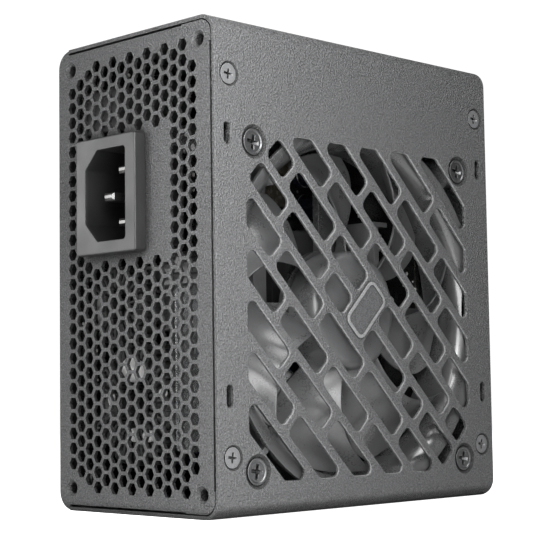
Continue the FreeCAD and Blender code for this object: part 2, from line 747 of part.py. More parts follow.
def blade_section(station):
    """Section of one blade in a plane across it: thin and cambered, leading edge at the front."""
    start = edge_across(station, leading_angle)
    end = edge_across(station, trailing_angle)
    curves = []
    for side in (-1, 1):
        points = []
        for step in range(5):
            part = step / 4
            thick = BLADE_THICK * (0.3 + 0.7 * math.sin(math.pi * (0.15 + 0.7 * part)))
            camber = BLADE_CAMBER * math.sin(math.pi * part)
            y = BLADE_FRONT_Y + (BLADE_REAR_Y - BLADE_FRONT_Y) * part + camber + side * thick / 2
            points.append(Vector(station, y, start + (end - start) * part))
        curve = Part.BSplineCurve()
        curve.interpolate(points)
        curves.append((points, curve.toShape()))
    (front_points, front_edge), (rear_points, rear_edge) = curves
    return Part.Wire([
        front_edge,
        Part.makeLine(front_points[-1], rear_points[-1]),
        rear_edge,
        Part.makeLine(rear_points[0], front_points[0]),
    ])


def build_fan_rotor():
    """Hub cup and swept blades, one moulding."""
    hub = rod(HUB_R, on_axis(HUB_TOP_Y), on_axis(ROTOR_REAR_Y))
    hub = hub.makeFillet(2.6, edges_at(hub, lambda at: at.y < HUB_TOP_Y + 0.01))
    sections = [blade_section(station) for station in (11.0, 16.0, 22.0, 28.0, 34.0, 40.0, 46.0)]
    blade = Part.makeLoft(sections, True, False)
    ring = tube(BLADE_TIP_R, HUB_R - HUB_WALL, Vector(0, FAN_FRONT_Y, 0), Vector(0, FAN_REAR_Y, 0))
    blade = blade.common(ring)
    blades = []
    for index in range(BLADES):
        turned = blade.copy()
        turned.rotate(Vector(0, 0, 0), Y, -360 * index / BLADES - BLADE_MIDDLE)
        turned.translate(Vector(0, 0, FAN_Z))
        blades.append(turned)
    rotor = joined([hub] + blades)
    hollow = rod(HUB_R - HUB_WALL, on_axis(HUB_TOP_Y + 1.3), on_axis(ROTOR_REAR_Y + 1))
    rotor = rotor.cut(hollow)
    boss = rod(3.2, on_axis(HUB_TOP_Y + 1.0), on_axis(HUB_TOP_Y + 2.0))
    rotor = rotor.fuse(boss)
    return without(rotor, [rod(SHAFT_R, on_axis(HUB_TOP_Y + 0.7), on_axis(HUB_TOP_Y + 3))])


def build_rotor_yoke():
    """Steel cup wall inside the hub."""
    outer = HUB_R - HUB_WALL
    return tube(outer, outer - YOKE_WALL, on_axis(HUB_TOP_Y + 1.3), on_axis(ROTOR_REAR_Y - 0.3))


def build_magnet_ring():
    """Ring magnet inside the yoke."""
    outer = HUB_R - HUB_WALL - YOKE_WALL
    return tube(outer, outer - MAGNET_WALL, on_axis(HUB_TOP_Y + 1.9), on_axis(ROTOR_REAR_Y - 1.2))


def build_fan_shaft():
    """Steel shaft with a groove for its clip."""
    shaft = rod(SHAFT_R, on_axis(HUB_TOP_Y + 0.7), on_axis(FAN_REAR_Y - 0.9))
    groove = tube(SHAFT_R + 1, SHAFT_R - 0.4, on_axis(FAN_REAR_Y - 2.0), on_axis(FAN_REAR_Y - 1.6))
    return without(shaft, [groove])


def build_shaft_clip():
    """Clip in the shaft's groove, behind the bearing."""
    ring = tube(2.7, SHAFT_R - 0.38, on_axis(FAN_REAR_Y - 1.98), on_axis(FAN_REAR_Y - 1.62))
    gap = box(around(0, 1.6), (FAN_REAR_Y - 3, FAN_REAR_Y), (FAN_Z, FAN_Z + 4))
    return without(ring, [gap])


def build_bearing_bush():
    """Plain bearing in the frame's tube."""
    return tube(BUSH_R, SHAFT_R + RUNNING_GAP, on_axis(HUB_TOP_Y + 2.8), on_axis(FAN_REAR_Y - 2.2))


STATOR_FRONT_Y = FAN_FRONT_Y + 5.4
STATOR_REAR_Y = FAN_FRONT_Y + 9.4
STATOR_RING_R = 6.6
STATOR_R = 11.7
SHOE_INNER_R = 10.4
POLE_WIDE = 3.0
POLES = 4
COIL_SPAN = (6.9, 9.9)                  # a coil's place along its pole
COIL_WIDE = 5.6
COIL_ENDS = 0.9                         # over the core's faces


def build_stator_core():
    """Laminated core with four poles."""
    front, rear = STATOR_FRONT_Y, STATOR_REAR_Y
    parts = [tube(STATOR_RING_R, BEARING_TUBE_R, on_axis(front), on_axis(rear))]
    for turn in range(POLES):
        arm = box((STATOR_RING_R - 1, STATOR_R - 0.7), (front, rear), around(0, POLE_WIDE))
        shoe = tube(STATOR_R, SHOE_INNER_R, Vector(0, front, 0), Vector(0, rear, 0))
        shoe = shoe.common(box((STATOR_RING_R, STATOR_R + 1), (front, rear), around(0, 12)))
        pole = arm.fuse(shoe)
        pole.rotate(Vector(0, 0, 0), Y, 45 + 90 * turn)
        pole.translate(Vector(0, 0, FAN_Z))
        parts.append(pole)
    return joined(parts)


def build_stator_coils():
    """Copper coil around each pole of the core."""
    front, rear = STATOR_FRONT_Y, STATOR_REAR_Y
    coils = []
    for turn in range(POLES):
        coil = soft_block(COIL_SPAN, (front - COIL_ENDS, rear + COIL_ENDS), around(0, COIL_WIDE), X, 0.9)
        coil = coil.cut(box((COIL_SPAN[0] - 1, COIL_SPAN[1] + 1), (front - HOLE_ROOM, rear + HOLE_ROOM),
                            around(0, POLE_WIDE + 2 * HOLE_ROOM)))
        coil.rotate(Vector(0, 0, 0), Y, 45 + 90 * turn)
        coil.translate(Vector(0, 0, FAN_Z))
        coils.append(coil)
    return Part.makeCompound(coils)


FAN_BOARD_R = 12.6
FAN_BOARD_Y = FAN_REAR_Y - STRUT_THICK - 1.1
FAN_CHIP_X = (5.6, 9.4)
FAN_CHIP_SIZE = (1.1, 3.2)              # height, width


def build_fan_board():
    """Driver board at the foot of the motor."""
    disc = tube(FAN_BOARD_R, BEARING_TUBE_R + HOLE_ROOM, on_axis(FAN_BOARD_Y), on_axis(FAN_BOARD_Y + 1))
    chip = box(FAN_CHIP_X, (FAN_BOARD_Y - FAN_CHIP_SIZE[0], FAN_BOARD_Y), around(FAN_Z, FAN_CHIP_SIZE[1]))
    return disc.fuse(chip).removeSplitter()


def fan_cable_points():
    """Route of the fan cable: along the strut, over the frame's edge and down to its header."""
    channel_y = FAN_REAR_Y - 0.65
    return [
        Vector(0, channel_y, FAN_Z + 13.0),
        Vector(0, channel_y, FAN_Z + 40.0),
        Vector(-1.0, channel_y + 5.5, FAN_Z + 56.0),
        Vector(-9.0, channel_y + 16.0, FAN_Z + 63.5),
        Vector(-19.0, channel_y + 26.0, FAN_Z + 64.5),
        Vector(-22.0, BOARD_Y - 10.5, FAN_Z + 64.5),
        Vector(-22.0, BOARD_Y - 6.6, FAN_Z + 64.5),
    ]


FAN_CABLE_BEND = 12.0
FAN_PLUG_SIZE = (8.0, 5.0)


def build_fan_cable():
    """Fan cable, held along its whole way inside the casing."""
    return wire_tube(fan_cable_points(), FAN_CABLE_R, FAN_CABLE_BEND)


def build_fan_plug():
    """Plug of the fan cable in its header on the main board."""
    end = fan_cable_points()[-1]
    return soft_block(around(end.x, FAN_PLUG_SIZE[0]), (end.y, BOARD_Y), around(end.z, FAN_PLUG_SIZE[1]),
                      Y, 0.6)


# ================================================================ mains inlet
def cavity_outline(x):
    """Outline of the inlet's cavity: two bevelled corners on the back wall's side."""
    y = around(INLET_Y, INLET_CAVITY[1])
    z = around(INLET_Z, INLET_CAVITY[2])
    bevel = INLET_CHAMFER
    return [
        Vector(x, y[0], z[0]),
        Vector(x, y[0], z[1]),
        Vector(x, y[1] - bevel, z[1]),
        Vector(x, y[1], z[1] - bevel),
        Vector(x, y[1], z[0] + bevel),
        Vector(x, y[1] - bevel, z[0]),
    ]


def inlet_pin(rise, offset, lead):
    """One blade of the inlet, from its tip in the cavity to its soldered tail."""
    tip = INLET_FACE_X + PIN_TIP_RECESS - lead
    y = around(INLET_Y + offset, PIN_SIZE[1])
    z = around(INLET_Z + rise, PIN_SIZE[2])
    blade = box((tip, tip + lead + PIN_SIZE[0]), y, z)
    return blade.makeChamfer(PIN_POINT, edges_at(blade, lambda at: at.x < tip + 0.01))


def inlet_pins():
    """The three blades: line, neutral and earth."""
    return {
        "line_pin": inlet_pin(PIN_SPREAD, -PIN_OFFSET, 0),
        "neutral_pin": inlet_pin(-PIN_SPREAD, -PIN_OFFSET, 0),
        "earth_pin": inlet_pin(0, EARTH_OFFSET, EARTH_LEAD),
    }


def build_inlet_housing():
    """Moulded inlet: thick flange outside the panel, body and cavity behind it."""
    flange = soft_block((INLET_FACE_X, X_MAINS), around(INLET_Y, INLET_FLANGE[1]),
                        around(INLET_Z, INLET_FLANGE[2]), X, 0.8)
    flange = flange.makeFillet(0.35, edges_at(flange, lambda at: at.x < INLET_FACE_X + 0.01))
    body = soft_block((X_MAINS, X_MAINS + INLET_BODY[0]), around(INLET_Y, INLET_BODY[1]),
                      around(INLET_Z, INLET_BODY[2]), X, 1.0)
    housing = joined([flange, body])
    cavity = Part.Face(soft_outline(cavity_outline(INLET_FACE_X), 1.0)).extrude(X * INLET_CAVITY[0])
    return without(housing, [cavity] + list(inlet_pins().values()))


FILTER_BOARD_Y = (-5, 22)
FILTER_BOARD_Z = (62, 103)
FILTER_FRONT_X = FILTER_BOARD_X + BOARD
X_CAPACITOR = (9.5, (11.5, 21.5), (66.0, 84.0))         # height, then its limits in Y and Z
Y_CAPACITOR_R = 4.0
Y_CAPACITOR_TALL = 3.2
Y_CAPACITOR_PLACES = ((6.0, 96.0), (16.5, 96.0))
FUSE_Y = 0.5
FUSE_Z = (66.0, 88.0)
FUSE_R = 2.3
FUSE_CAP_R = 2.6
FUSE_CAP_LONG = 5.0
WIRE_R = 1.1
WIRE_BEND = 5.0
WIRE_ENDS = ((63.8, -1.4), (101.2, 1.0))                # height of each wire and how it drifts


def build_filter_board():
    """Small upright board soldered to the inlet's pins."""
    board = box((FILTER_BOARD_X, FILTER_FRONT_X), FILTER_BOARD_Y, FILTER_BOARD_Z)
    return without(board, list(inlet_pins().values()))


def build_x_capacitor():
    """Film capacitor across the mains."""
    tall, y, z = X_CAPACITOR
    return soft_block((FILTER_FRONT_X, FILTER_FRONT_X + tall), y, z, X, 0.8)


def build_y_capacitors():
    """Two disc capacitors from the mains to earth."""
    rear = FILTER_FRONT_X + Y_CAPACITOR_TALL
    discs = []
    for y, z in Y_CAPACITOR_PLACES:
        disc = rod(Y_CAPACITOR_R, Vector(FILTER_FRONT_X, y, z), Vector(rear, y, z))
        discs.append(disc.makeFillet(1.0, edges_at(disc, lambda at: abs(at.x - rear) < 0.01)))
    return Part.makeCompound(discs)


def build_mains_fuse():
    """Ceramic fuse with end caps."""
    x = FILTER_FRONT_X + FUSE_CAP_R + 0.1
    body = rod(FUSE_R, Vector(x, FUSE_Y, FUSE_Z[0] + 1), Vector(x, FUSE_Y, FUSE_Z[1] - 1))
    caps = [rod(FUSE_CAP_R, Vector(x, FUSE_Y, z), Vector(x, FUSE_Y, z + FUSE_CAP_LONG))
            for z in (FUSE_Z[0], FUSE_Z[1] - FUSE_CAP_LONG)]
    return joined([body] + caps)


def build_mains_wires():
    """Two insulated wires from the filter board down to the main board."""
    wires = []
    for z, drift in WIRE_ENDS:
        points = [
            Vector(FILTER_FRONT_X, 13.0, z),
            Vector(FILTER_FRONT_X + 4.5, 13.0, z),
            Vector(FILTER_FRONT_X + 9.5, 17.0, z + drift),
            Vector(FILTER_FRONT_X + 9.5, BOARD_Y, z + drift),
        ]
        wires.append(wire_tube(points, WIRE_R, WIRE_BEND))
    return Part.makeCompound(wires)


# ================================================================ main board and its parts
def build_main_board():
    """Main board, parallel to the back wall."""
    board = box(BOARD_X, (BOARD_Y, SOLDER_Y), BOARD_Z)
    holes = [rod(BOARD_HOLE_R, Vector(x, BOARD_Y, z), Vector(x, SOLDER_Y, z)) for x, z in BOARD_SCREWS]
    return without(board, holes)


def build_board_standoffs():
    """Four press-in standoffs, flush with the outside of the back wall."""
    studs = []
    for x, z in BOARD_SCREWS:
        seat = Vector(x, BACK_INNER_Y, z)
        stud = rod(STANDOFF_R, Vector(x, SOLDER_Y, z), seat)
        stud = stud.fuse(rod(STANDOFF_PRESS_R, seat, Vector(x, Y_BACK - HOLE_ROOM, z)))
        studs.append(without(stud, [rod(STANDOFF_BORE_R, Vector(x, SOLDER_Y, z), seat)]))
    return Part.makeCompound(studs)


def build_board_screws():
    """Four pan-head screws that hold the main board."""
    screws = []
    for x, z in BOARD_SCREWS:
        top = BOARD_Y - BOARD_HEAD_TALL
        head = rod(BOARD_HEAD_R, Vector(x, top, z), Vector(x, BOARD_Y, z))
        head = head.makeFillet(0.8, edges_at(head, lambda at: at.y < top + 0.1))
        end = Vector(x, SOLDER_Y + BOARD_SCREW_REACH, z)
        screw = head.fuse(rod(BOARD_SHANK_R, Vector(x, BOARD_Y - 1, z), end))
        screws.append(without(screw, cross_recess(x, top, z, COVER_CROSS, COVER_CROSS_DEEP)))
    return Part.makeCompound(screws)


def build_insulation_sheet():
    """Insulating sheet between the main board and the back wall."""
    sheet = box((X_MAINS + 2, X_SOCKETS - 2), INSULATION_Y, BOARD_Z)
    hole_r = STANDOFF_R + 2 * HOLE_ROOM
    holes = [rod(hole_r, Vector(x, SOLDER_Y, z), Vector(x, BACK_INNER_Y, z)) for x, z in BOARD_SCREWS]
    return without(sheet, holes)


def build_air_baffle():
    """Clear sheet behind the fan that sends air down to the board."""
    rear = FAN_REAR_Y + BAFFLE_BEHIND_FAN
    return soft_block(BAFFLE_X, (rear, rear + BAFFLE_THICK), BAFFLE_Z, Y, 2.0)


def on_board(x, z, width, height, tall, corner):
    """Upright block on the main board, rounded along its height."""
    return soft_block(around(x, width), (BOARD_Y - tall, BOARD_Y), around(z, height), Y, corner)


WIRE_CLEAR = 0.15                       # between a ring core and its wire


def toroid_core(middle, outer, inner, thick):
    """Ring core with its axis along X."""
    half = X * (thick / 2)
    ring = tube(outer, inner, middle - half, middle + half)
    rims = edges_at(ring, lambda at: True)
    rims = [edge for edge in rims if isinstance(edge.Curve, Part.Circle)]
    return ring.makeFillet(1.0, rims)


def toroid_winding(middle, outer, inner, thick, gauge, turns, gap_angle):
    """Turns of wire around a ring core, spread evenly with a gap at the bottom."""
    clear = WIRE_CLEAR + gauge / 2
    half = thick / 2 + clear
    corner = gauge * 1.1
    loops = []
    for index in range(turns):
        low, high = inner - clear, outer + clear
        corners = [Vector(-half, low, 0), Vector(half, low, 0), Vector(half, high, 0), Vector(-half, high, 0)]
        path = soft_outline(corners, corner)
        start = path.Edges[1]
        direction = start.tangentAt(start.FirstParameter)
        section = Part.Wire(Part.makeCircle(gauge / 2, start.valueAt(start.FirstParameter), direction))
        path = Part.Wire(path.Edges[1:] + path.Edges[:1])
        loop = path.makePipeShell([section], True, False)
        spread = 360.0 - gap_angle
        angle = gap_angle / 2 + spread * (index + 0.5) / turns
        loop.rotate(Vector(0, 0, 0), X, angle)
        loop.translate(middle)
        loops.append(loop)
    return Part.makeCompound(loops)


# middle, outer radius, inner radius and thickness of the two ring cores
BOOST_CORE = (Vector(-43.0, 7.2, 28.0), 14.8, 7.9, 11.0)
LINE_CORE = (Vector(-46.2, 12.2, 54.0), 9.8, 5.6, 7.0)
# wire thickness, number of turns and the gap between the ends in degrees
BOOST_WIRE = (1.1, 30, 30)
LINE_WIRE = (0.9, 22, 50)

BRIDGE_SINK_X = (-41.0, -39.0)
BRIDGE_SINK_Z = (47.5, 65.0)
BRIDGE_FIN_X = -47.0
BRIDGE_FIN_Z = (56.0, 59.0, 62.0)
SINK_TOP_Y = -12.5
FIN_TOP_Y = (-12.5, -3.0)
FIN_THICK = 1.2
BRIDGE_X = (-39.0, -35.4)
BRIDGE_Y = (-4.0, 12.0)
BRIDGE_LEG_Z = (49.5, 52.8, 56.2, 59.5)
LEG_WIDE = 0.9


def legs(x, start_y, places):
    """Flat legs from a component down to the main board."""
    return [box(x, (start_y, BOARD_Y), around(z, LEG_WIDE)) for z in places]


def build_bridge_heatsink():
    """Aluminium plate that carries the bridge rectifier."""
    plate = box(BRIDGE_SINK_X, (SINK_TOP_Y, BOARD_Y), BRIDGE_SINK_Z)
    fins = [box((BRIDGE_FIN_X, BRIDGE_SINK_X[0]), FIN_TOP_Y, (z, z + FIN_THICK)) for z in BRIDGE_FIN_Z]
    return joined([plate] + fins)


def build_bridge_rectifier():
    """Flat rectifier with four legs."""
    body = soft_block(BRIDGE_X, BRIDGE_Y, (BRIDGE_SINK_Z[0], BRIDGE_SINK_Z[0] + 14), X, 0.6)
    return joined([body] + legs((-37.4, -36.6), BRIDGE_Y[1], BRIDGE_LEG_Z))


PRIMARY_SINK_X = (-21.0, -18.0)
PRIMARY_SINK_Z = (42.0, 99.0)
PRIMARY_FIN_X = -22.8
PRIMARY_TOP_Y = -12.0
PRIMARY_FIN_PITCH = 4.0
TRANSISTOR_X = (-18.0, -13.6)
TRANSISTOR_Y = (0.0, 15.0)
TRANSISTOR_WIDE = 10.0
TRANSISTOR_Z = (48.0, 61.0, 74.0, 87.0)
TRANSISTOR_LEG_X = (-16.2, -15.4)
TRANSISTOR_LEG_PITCH = 2.5


def build_primary_heatsink():
    """Finned aluminium bar for the switching transistors."""
    bar = box(PRIMARY_SINK_X, (PRIMARY_TOP_Y, BOARD_Y), PRIMARY_SINK_Z)
    fins = []
    for index in range(4):
        y = PRIMARY_TOP_Y + index * PRIMARY_FIN_PITCH
        fins.append(box((PRIMARY_FIN_X, PRIMARY_SINK_X[1]), (y, y + FIN_THICK), PRIMARY_SINK_Z))
    return joined([bar] + fins)


def build_primary_transistors():
    """Four plastic transistors clamped to the bar, each with three legs."""
    bodies = []
    for z in TRANSISTOR_Z:
        body = box(TRANSISTOR_X, TRANSISTOR_Y, around(z, TRANSISTOR_WIDE))
        places = [z + side * TRANSISTOR_LEG_PITCH for side in (-1, 0, 1)]
        bodies.append(joined([body] + legs(TRANSISTOR_LEG_X, TRANSISTOR_Y[1], places)))
    return Part.makeCompound(bodies)


BULK_PLACE = (-13.0, 23.0)
BULK_R = 15.0
BULK_TALL = 36.0
BULK_DISH_R = 12.2
BULK_DISH = 0.5
SCORE_WIDE = 0.7
SCORE_LONG = 14.0
SCORE_DEEP = 0.3


def build_bulk_capacitor():
    """Large electrolytic capacitor, standing on the board."""
    x, z = BULK_PLACE
    top = BOARD_Y - BULK_TALL
    floor = top + BULK_DISH
    can = rod(BULK_R, Vector(x, top, z), Vector(x, BOARD_Y, z))
    can = can.makeFillet(1.5, edges_at(can, lambda at: at.y < top + 0.01))
    dish = rod(BULK_DISH_R, Vector(x, top - 1, z), Vector(x, floor, z))
    score_y = (floor - SCORE_DEEP, floor + SCORE_DEEP)
    scores = [box(around(x, SCORE_LONG), score_y, around(z, SCORE_WIDE)),
              box(around(x, SCORE_WIDE), score_y, around(z, SCORE_LONG))]
    return without(can, [dish] + scores)


TRANSFORMER = (8.0, 62.0)
CORE_SIZE = (34.0, 28.0)
CORE_Y = (-5.4, 20.6)
CORE_WINDOW = 24.0
CORE_END = 5.0                          # thickness of the end plates
CORE_LEG_R = 5.0
COIL_R = 11.8
COIL_Y = (0.0, 15.2)
BOBBIN_FOOT = (20.0, 30.0)
BOBBIN_POST = (12.0, 1.0, 14.6)         # width, thickness, distance from the middle
BOBBIN_WEB = (9.0, 5.0, 12.2)
BOBBIN_TOP_Y = 12.0


def build_transformer_core():
    """Ferrite core: two outer legs, a round middle leg and end plates."""
    x, z = TRANSFORMER
    outer = box(around(x, CORE_SIZE[0]), CORE_Y, around(z, CORE_SIZE[1]))
    window = box(around(x, CORE_WINDOW), (CORE_Y[0] + CORE_END, CORE_Y[1] - CORE_END),
                 around(z, CORE_SIZE[1] + 1))
    centre = rod(CORE_LEG_R, Vector(x, CORE_Y[0] + 4, z), Vector(x, CORE_Y[1] - 4, z))
    return outer.cut(window).fuse(centre).removeSplitter()


def build_transformer_winding():
    """Taped winding on its bobbin, with the bobbin's foot on the board."""
    x, z = TRANSFORMER
    parts = [tube(COIL_R, CORE_LEG_R + 0.2, Vector(x, COIL_Y[0], z), Vector(x, COIL_Y[1], z)),
             box(around(x, BOBBIN_FOOT[0]), (CORE_Y[1], BOARD_Y), around(z, BOBBIN_FOOT[1]))]
    for (width, thick, reach), end in ((BOBBIN_POST, BOARD_Y), (BOBBIN_WEB, COIL_Y[1])):
        for side in (-1, 1):
            parts.append(box(around(x, width), (BOBBIN_TOP_Y, end), around(z + side * reach, thick)))
    return joined(parts)


STANDBY_PLACE = (4.0, 92.0)
STANDBY_CORE = (18.0, 14.0, 16.0)       # along X, along Z, height
STANDBY_COIL = (12.0, 20.0)


def build_standby_transformer():
    """Small transformer of the standby supply."""
    x, z = STANDBY_PLACE
    core = on_board(x, z, *STANDBY_CORE, 0.6)
    coil_y = (BOARD_Y - STANDBY_CORE[2] + 2, BOARD_Y - 2)
    coil = soft_block(around(x, STANDBY_COIL[0]), coil_y, around(z, STANDBY_COIL[1]), Y, 3.0)
    return joined([core, coil])


CONTROL_X = (-16.0, 24.0)
CONTROL_TOP_Y = -6.0
CONTROL_Z = 105.0
CHIP_X = (-6.0, 8.0)
CHIP_Y = 8.0
CHIP_SIZE = (8.0, 6.0, 1.4)


def build_control_board():
    """Upright control board with its chips."""
    board = box(CONTROL_X, (CONTROL_TOP_Y, BOARD_Y), (CONTROL_Z, CONTROL_Z + BOARD))
    chips = [box(around(x, CHIP_SIZE[0]), around(CHIP_Y, CHIP_SIZE[1]), (CONTROL_Z - CHIP_SIZE[2], CONTROL_Z))
             for x in CHIP_X]
    return joined([board] + chips)


SECONDARY_SINK_X = (27.6, 29.6)
SECONDARY_SINK_Z = (44.0, 80.0)
SECONDARY_TOP_Y = -11.0
SECONDARY_FIN_Y = 8.0
SECONDARY_FIN_X = 33.5
SECONDARY_FIN_THICK = 1.4
SECONDARY_FINS = 6
BUSBAR_X = 34.0
BUSBAR_Y = (18.0, 19.2)
BUSBAR_WIDE = 7.0
BUSBAR_Z = (46.0, 56.0, 66.0)


def build_secondary_heatsink():
    """Aluminium plates over the output rectifiers."""
    plate = box(SECONDARY_SINK_X, (SECONDARY_TOP_Y, BOARD_Y), SECONDARY_SINK_Z)
    pitch = (SECONDARY_SINK_Z[1] - SECONDARY_SINK_Z[0] - SECONDARY_FIN_THICK) / (SECONDARY_FINS - 1)
    fins = []
    for index in range(SECONDARY_FINS):
        z = SECONDARY_SINK_Z[0] + index * pitch
        fins.append(box((SECONDARY_SINK_X[1], SECONDARY_FIN_X), (SECONDARY_TOP_Y, SECONDARY_FIN_Y),
                        (z, z + SECONDARY_FIN_THICK)))
    return joined([plate] + fins)


def build_output_busbars():
    """Copper bars that carry the output to the modular board."""
    bars = []
    thick = BUSBAR_Y[1] - BUSBAR_Y[0]
    for z in BUSBAR_Z:
        run = box((BUSBAR_X, MODULAR_X), BUSBAR_Y, (z, z + BUSBAR_WIDE))
        leg = box((BUSBAR_X, BUSBAR_X + thick), (BUSBAR_Y[0], BOARD_Y), (z, z + BUSBAR_WIDE))
        bars.append(joined([run, leg]))
    return Part.makeCompound(bars)


# places, radius and height of the output capacitors
LARGE_CANS = ([(x, z) for z in (14.5, 26.0, 37.5) for x in (20.0, 32.0)], 5.0, 22.0)
SMALL_CANS = ([(34.0, 88.0), (34.0, 98.0)], 4.0, 14.0)
CAN_GROOVE = (2.2, 3.2, 0.35)           # its limits above the board, and its depth
RELAY = (-44.0, 107.0, 14.0, 12.0, 15.0, 0.8)
THERMISTOR_X = (-31.0, -27.0)
THERMISTOR_Y = 14.0
THERMISTOR_Z = 111.5
THERMISTOR_R = 6.5


def capacitor(x, z, radius, tall):
    """Small electrolytic capacitor on the main board, with a scored top."""
    top = BOARD_Y - tall
    low, high, deep = CAN_GROOVE
    can = rod(radius, Vector(x, top, z), Vector(x, BOARD_Y, z))
    can = can.makeFillet(0.6, edges_at(can, lambda at: at.y < top + 0.01))
    groove = tube(radius + 1, radius - deep, Vector(x, BOARD_Y - high, z), Vector(x, BOARD_Y - low, z))
    score = box(around(x, radius), (top, top + SCORE_DEEP), around(z, SCORE_WIDE))
    return without(can, [groove, score])


def build_output_capacitors():
    """Rows of output capacitors near the modular board."""
    cans = []
    for places, radius, tall in (LARGE_CANS, SMALL_CANS):
        for x, z in places:
            cans.append(capacitor(x, z, radius, tall))
    return Part.makeCompound(cans)


def build_relay():
    """Relay that bridges the thermistor once the supply runs."""
    return on_board(*RELAY)


def build_inrush_thermistor():
    """Disc thermistor against the inrush current."""
    disc = rod(THERMISTOR_R, Vector(THERMISTOR_X[0], THERMISTOR_Y, THERMISTOR_Z),
               Vector(THERMISTOR_X[1], THERMISTOR_Y, THERMISTOR_Z))
    middle = sum(THERMISTOR_X) / 2
    places = (THERMISTOR_Z - 3, THERMISTOR_Z + 3)
    return joined([disc] + legs(around(middle, LEG_WIDE), THERMISTOR_Y + 4, places))


# ================================================================ modular side
def socket_rows():
    """Sockets of the outer and the inner row, each with its columns."""
    outer = {"socket_24way": 12, "socket_processor": 4, "socket_graphics_1": 4}
    inner = {"socket_graphics_2": 4, "socket_12v_power": 6, "socket_drive_1": 3, "socket_drive_2": 3,
             "socket_drive_3": 3}
    return outer, inner


def socket_size(name, columns):
    """Width, height and cell pitch of a socket."""
    if name == "socket_12v_power":
        return columns * POWER_PITCH + SOCKET_WALL, POWER_HIGH, POWER_PITCH
    return columns * SOCKET_PITCH + SOCKET_WALL, SOCKET_HIGH, SOCKET_PITCH


def socket_layout():
    """Name, place, width, height, columns and pitch of each socket, rows centred up the panel."""
    layout = []
    for row, y in zip(socket_rows(), reversed(SOCKET_ROW_Y)):
        widths = [socket_size(name, columns)[0] for name, columns in row.items()]
        z = TALL / 2 - (sum(widths) + SOCKET_GAP * (len(row) - 1)) / 2
        for name, columns in row.items():
            width, height, pitch = socket_size(name, columns)
            layout.append((name, y, z + width / 2, width, height, columns, pitch))
            z += width + SOCKET_GAP
    return layout


def socket_boxes():
    """Outline of each socket in the connector panel."""
    return [(y, z, width, height) for _, y, z, width, height, _, _ in socket_layout()]


def latch_box(y, z, width, height, room):
    """Ledge on the fan side of a socket that a plug's latch hooks behind."""
    top = y - height / 2
    return box((MODULAR_X + BOARD + 4, SOCKET_FRONT_X + 4 * room),
               (top - LATCH_RISE - room, top + 0.1), around(z, min(width - 4, LATCH_WIDE) + 2 * room))


def socket_cells(y, z, columns, pitch):
    """Centres of the cells of a two-row socket."""
    first = z - (columns - 1) * pitch / 2
    return [(y + side * pitch / 2, first + column * pitch) for side in (-1, 1) for column in range(columns)]


def build_socket(y, z, width, height, columns, pitch):
    """Housing of one socket: a grid of cells open to the outside."""
    back = MODULAR_X + BOARD
    body = box((back, SOCKET_FRONT_X), around(y, height), around(z, width))
    body = joined([body, latch_box(y, z, width, height, 0)])
    size = CELL_SIZE if pitch == SOCKET_PITCH else POWER_CELL
    cuts = []
    for index, (cell_y, cell_z) in enumerate(socket_cells(y, z, columns, pitch)):
        cell = box((back + SOCKET_FLOOR, SOCKET_FRONT_X + 1), around(cell_y, size), around(cell_z, size))
        if index % 3 != 1 and pitch == SOCKET_PITCH:
            outer = size / 2 * (-1 if cell_y < y else 1)
            corners = [edge for edge in edges_along(cell, X)
                       if abs(edge.CenterOfMass.y - cell_y - outer) < 0.01]
            cell = cell.makeChamfer(CELL_BEVEL, corners)
        cuts.append(cell)
        cuts.append(box((back, back + 2), around(cell_y, PIN_WIDE), around(cell_z, PIN_WIDE)))
    return body.cut(Part.makeCompound(cuts))


def build_socket_pins():
    """All contact pins of the sockets, soldered into the modular board."""
    back = MODULAR_X + BOARD
    tip = SOCKET_FRONT_X - CONTACT_RECESS
    pins = []
    for _, y, z, _, _, columns, pitch in socket_layout():
        for cell_y, cell_z in socket_cells(y, z, columns, pitch):
            size = PIN_WIDE if pitch == SOCKET_PITCH else POWER_PIN_WIDE
            pin = box((back, tip), around(cell_y, size), around(cell_z, size))
            pins.append(pin.makeChamfer(CONTACT_POINT, edges_at(pin, lambda at: at.x > tip - 0.1)))
    return Part.makeCompound(pins)


def build_modular_board():
    """Upright board that carries the sockets."""
    return box((MODULAR_X, MODULAR_X + BOARD), MODULAR_Y, MODULAR_Z)


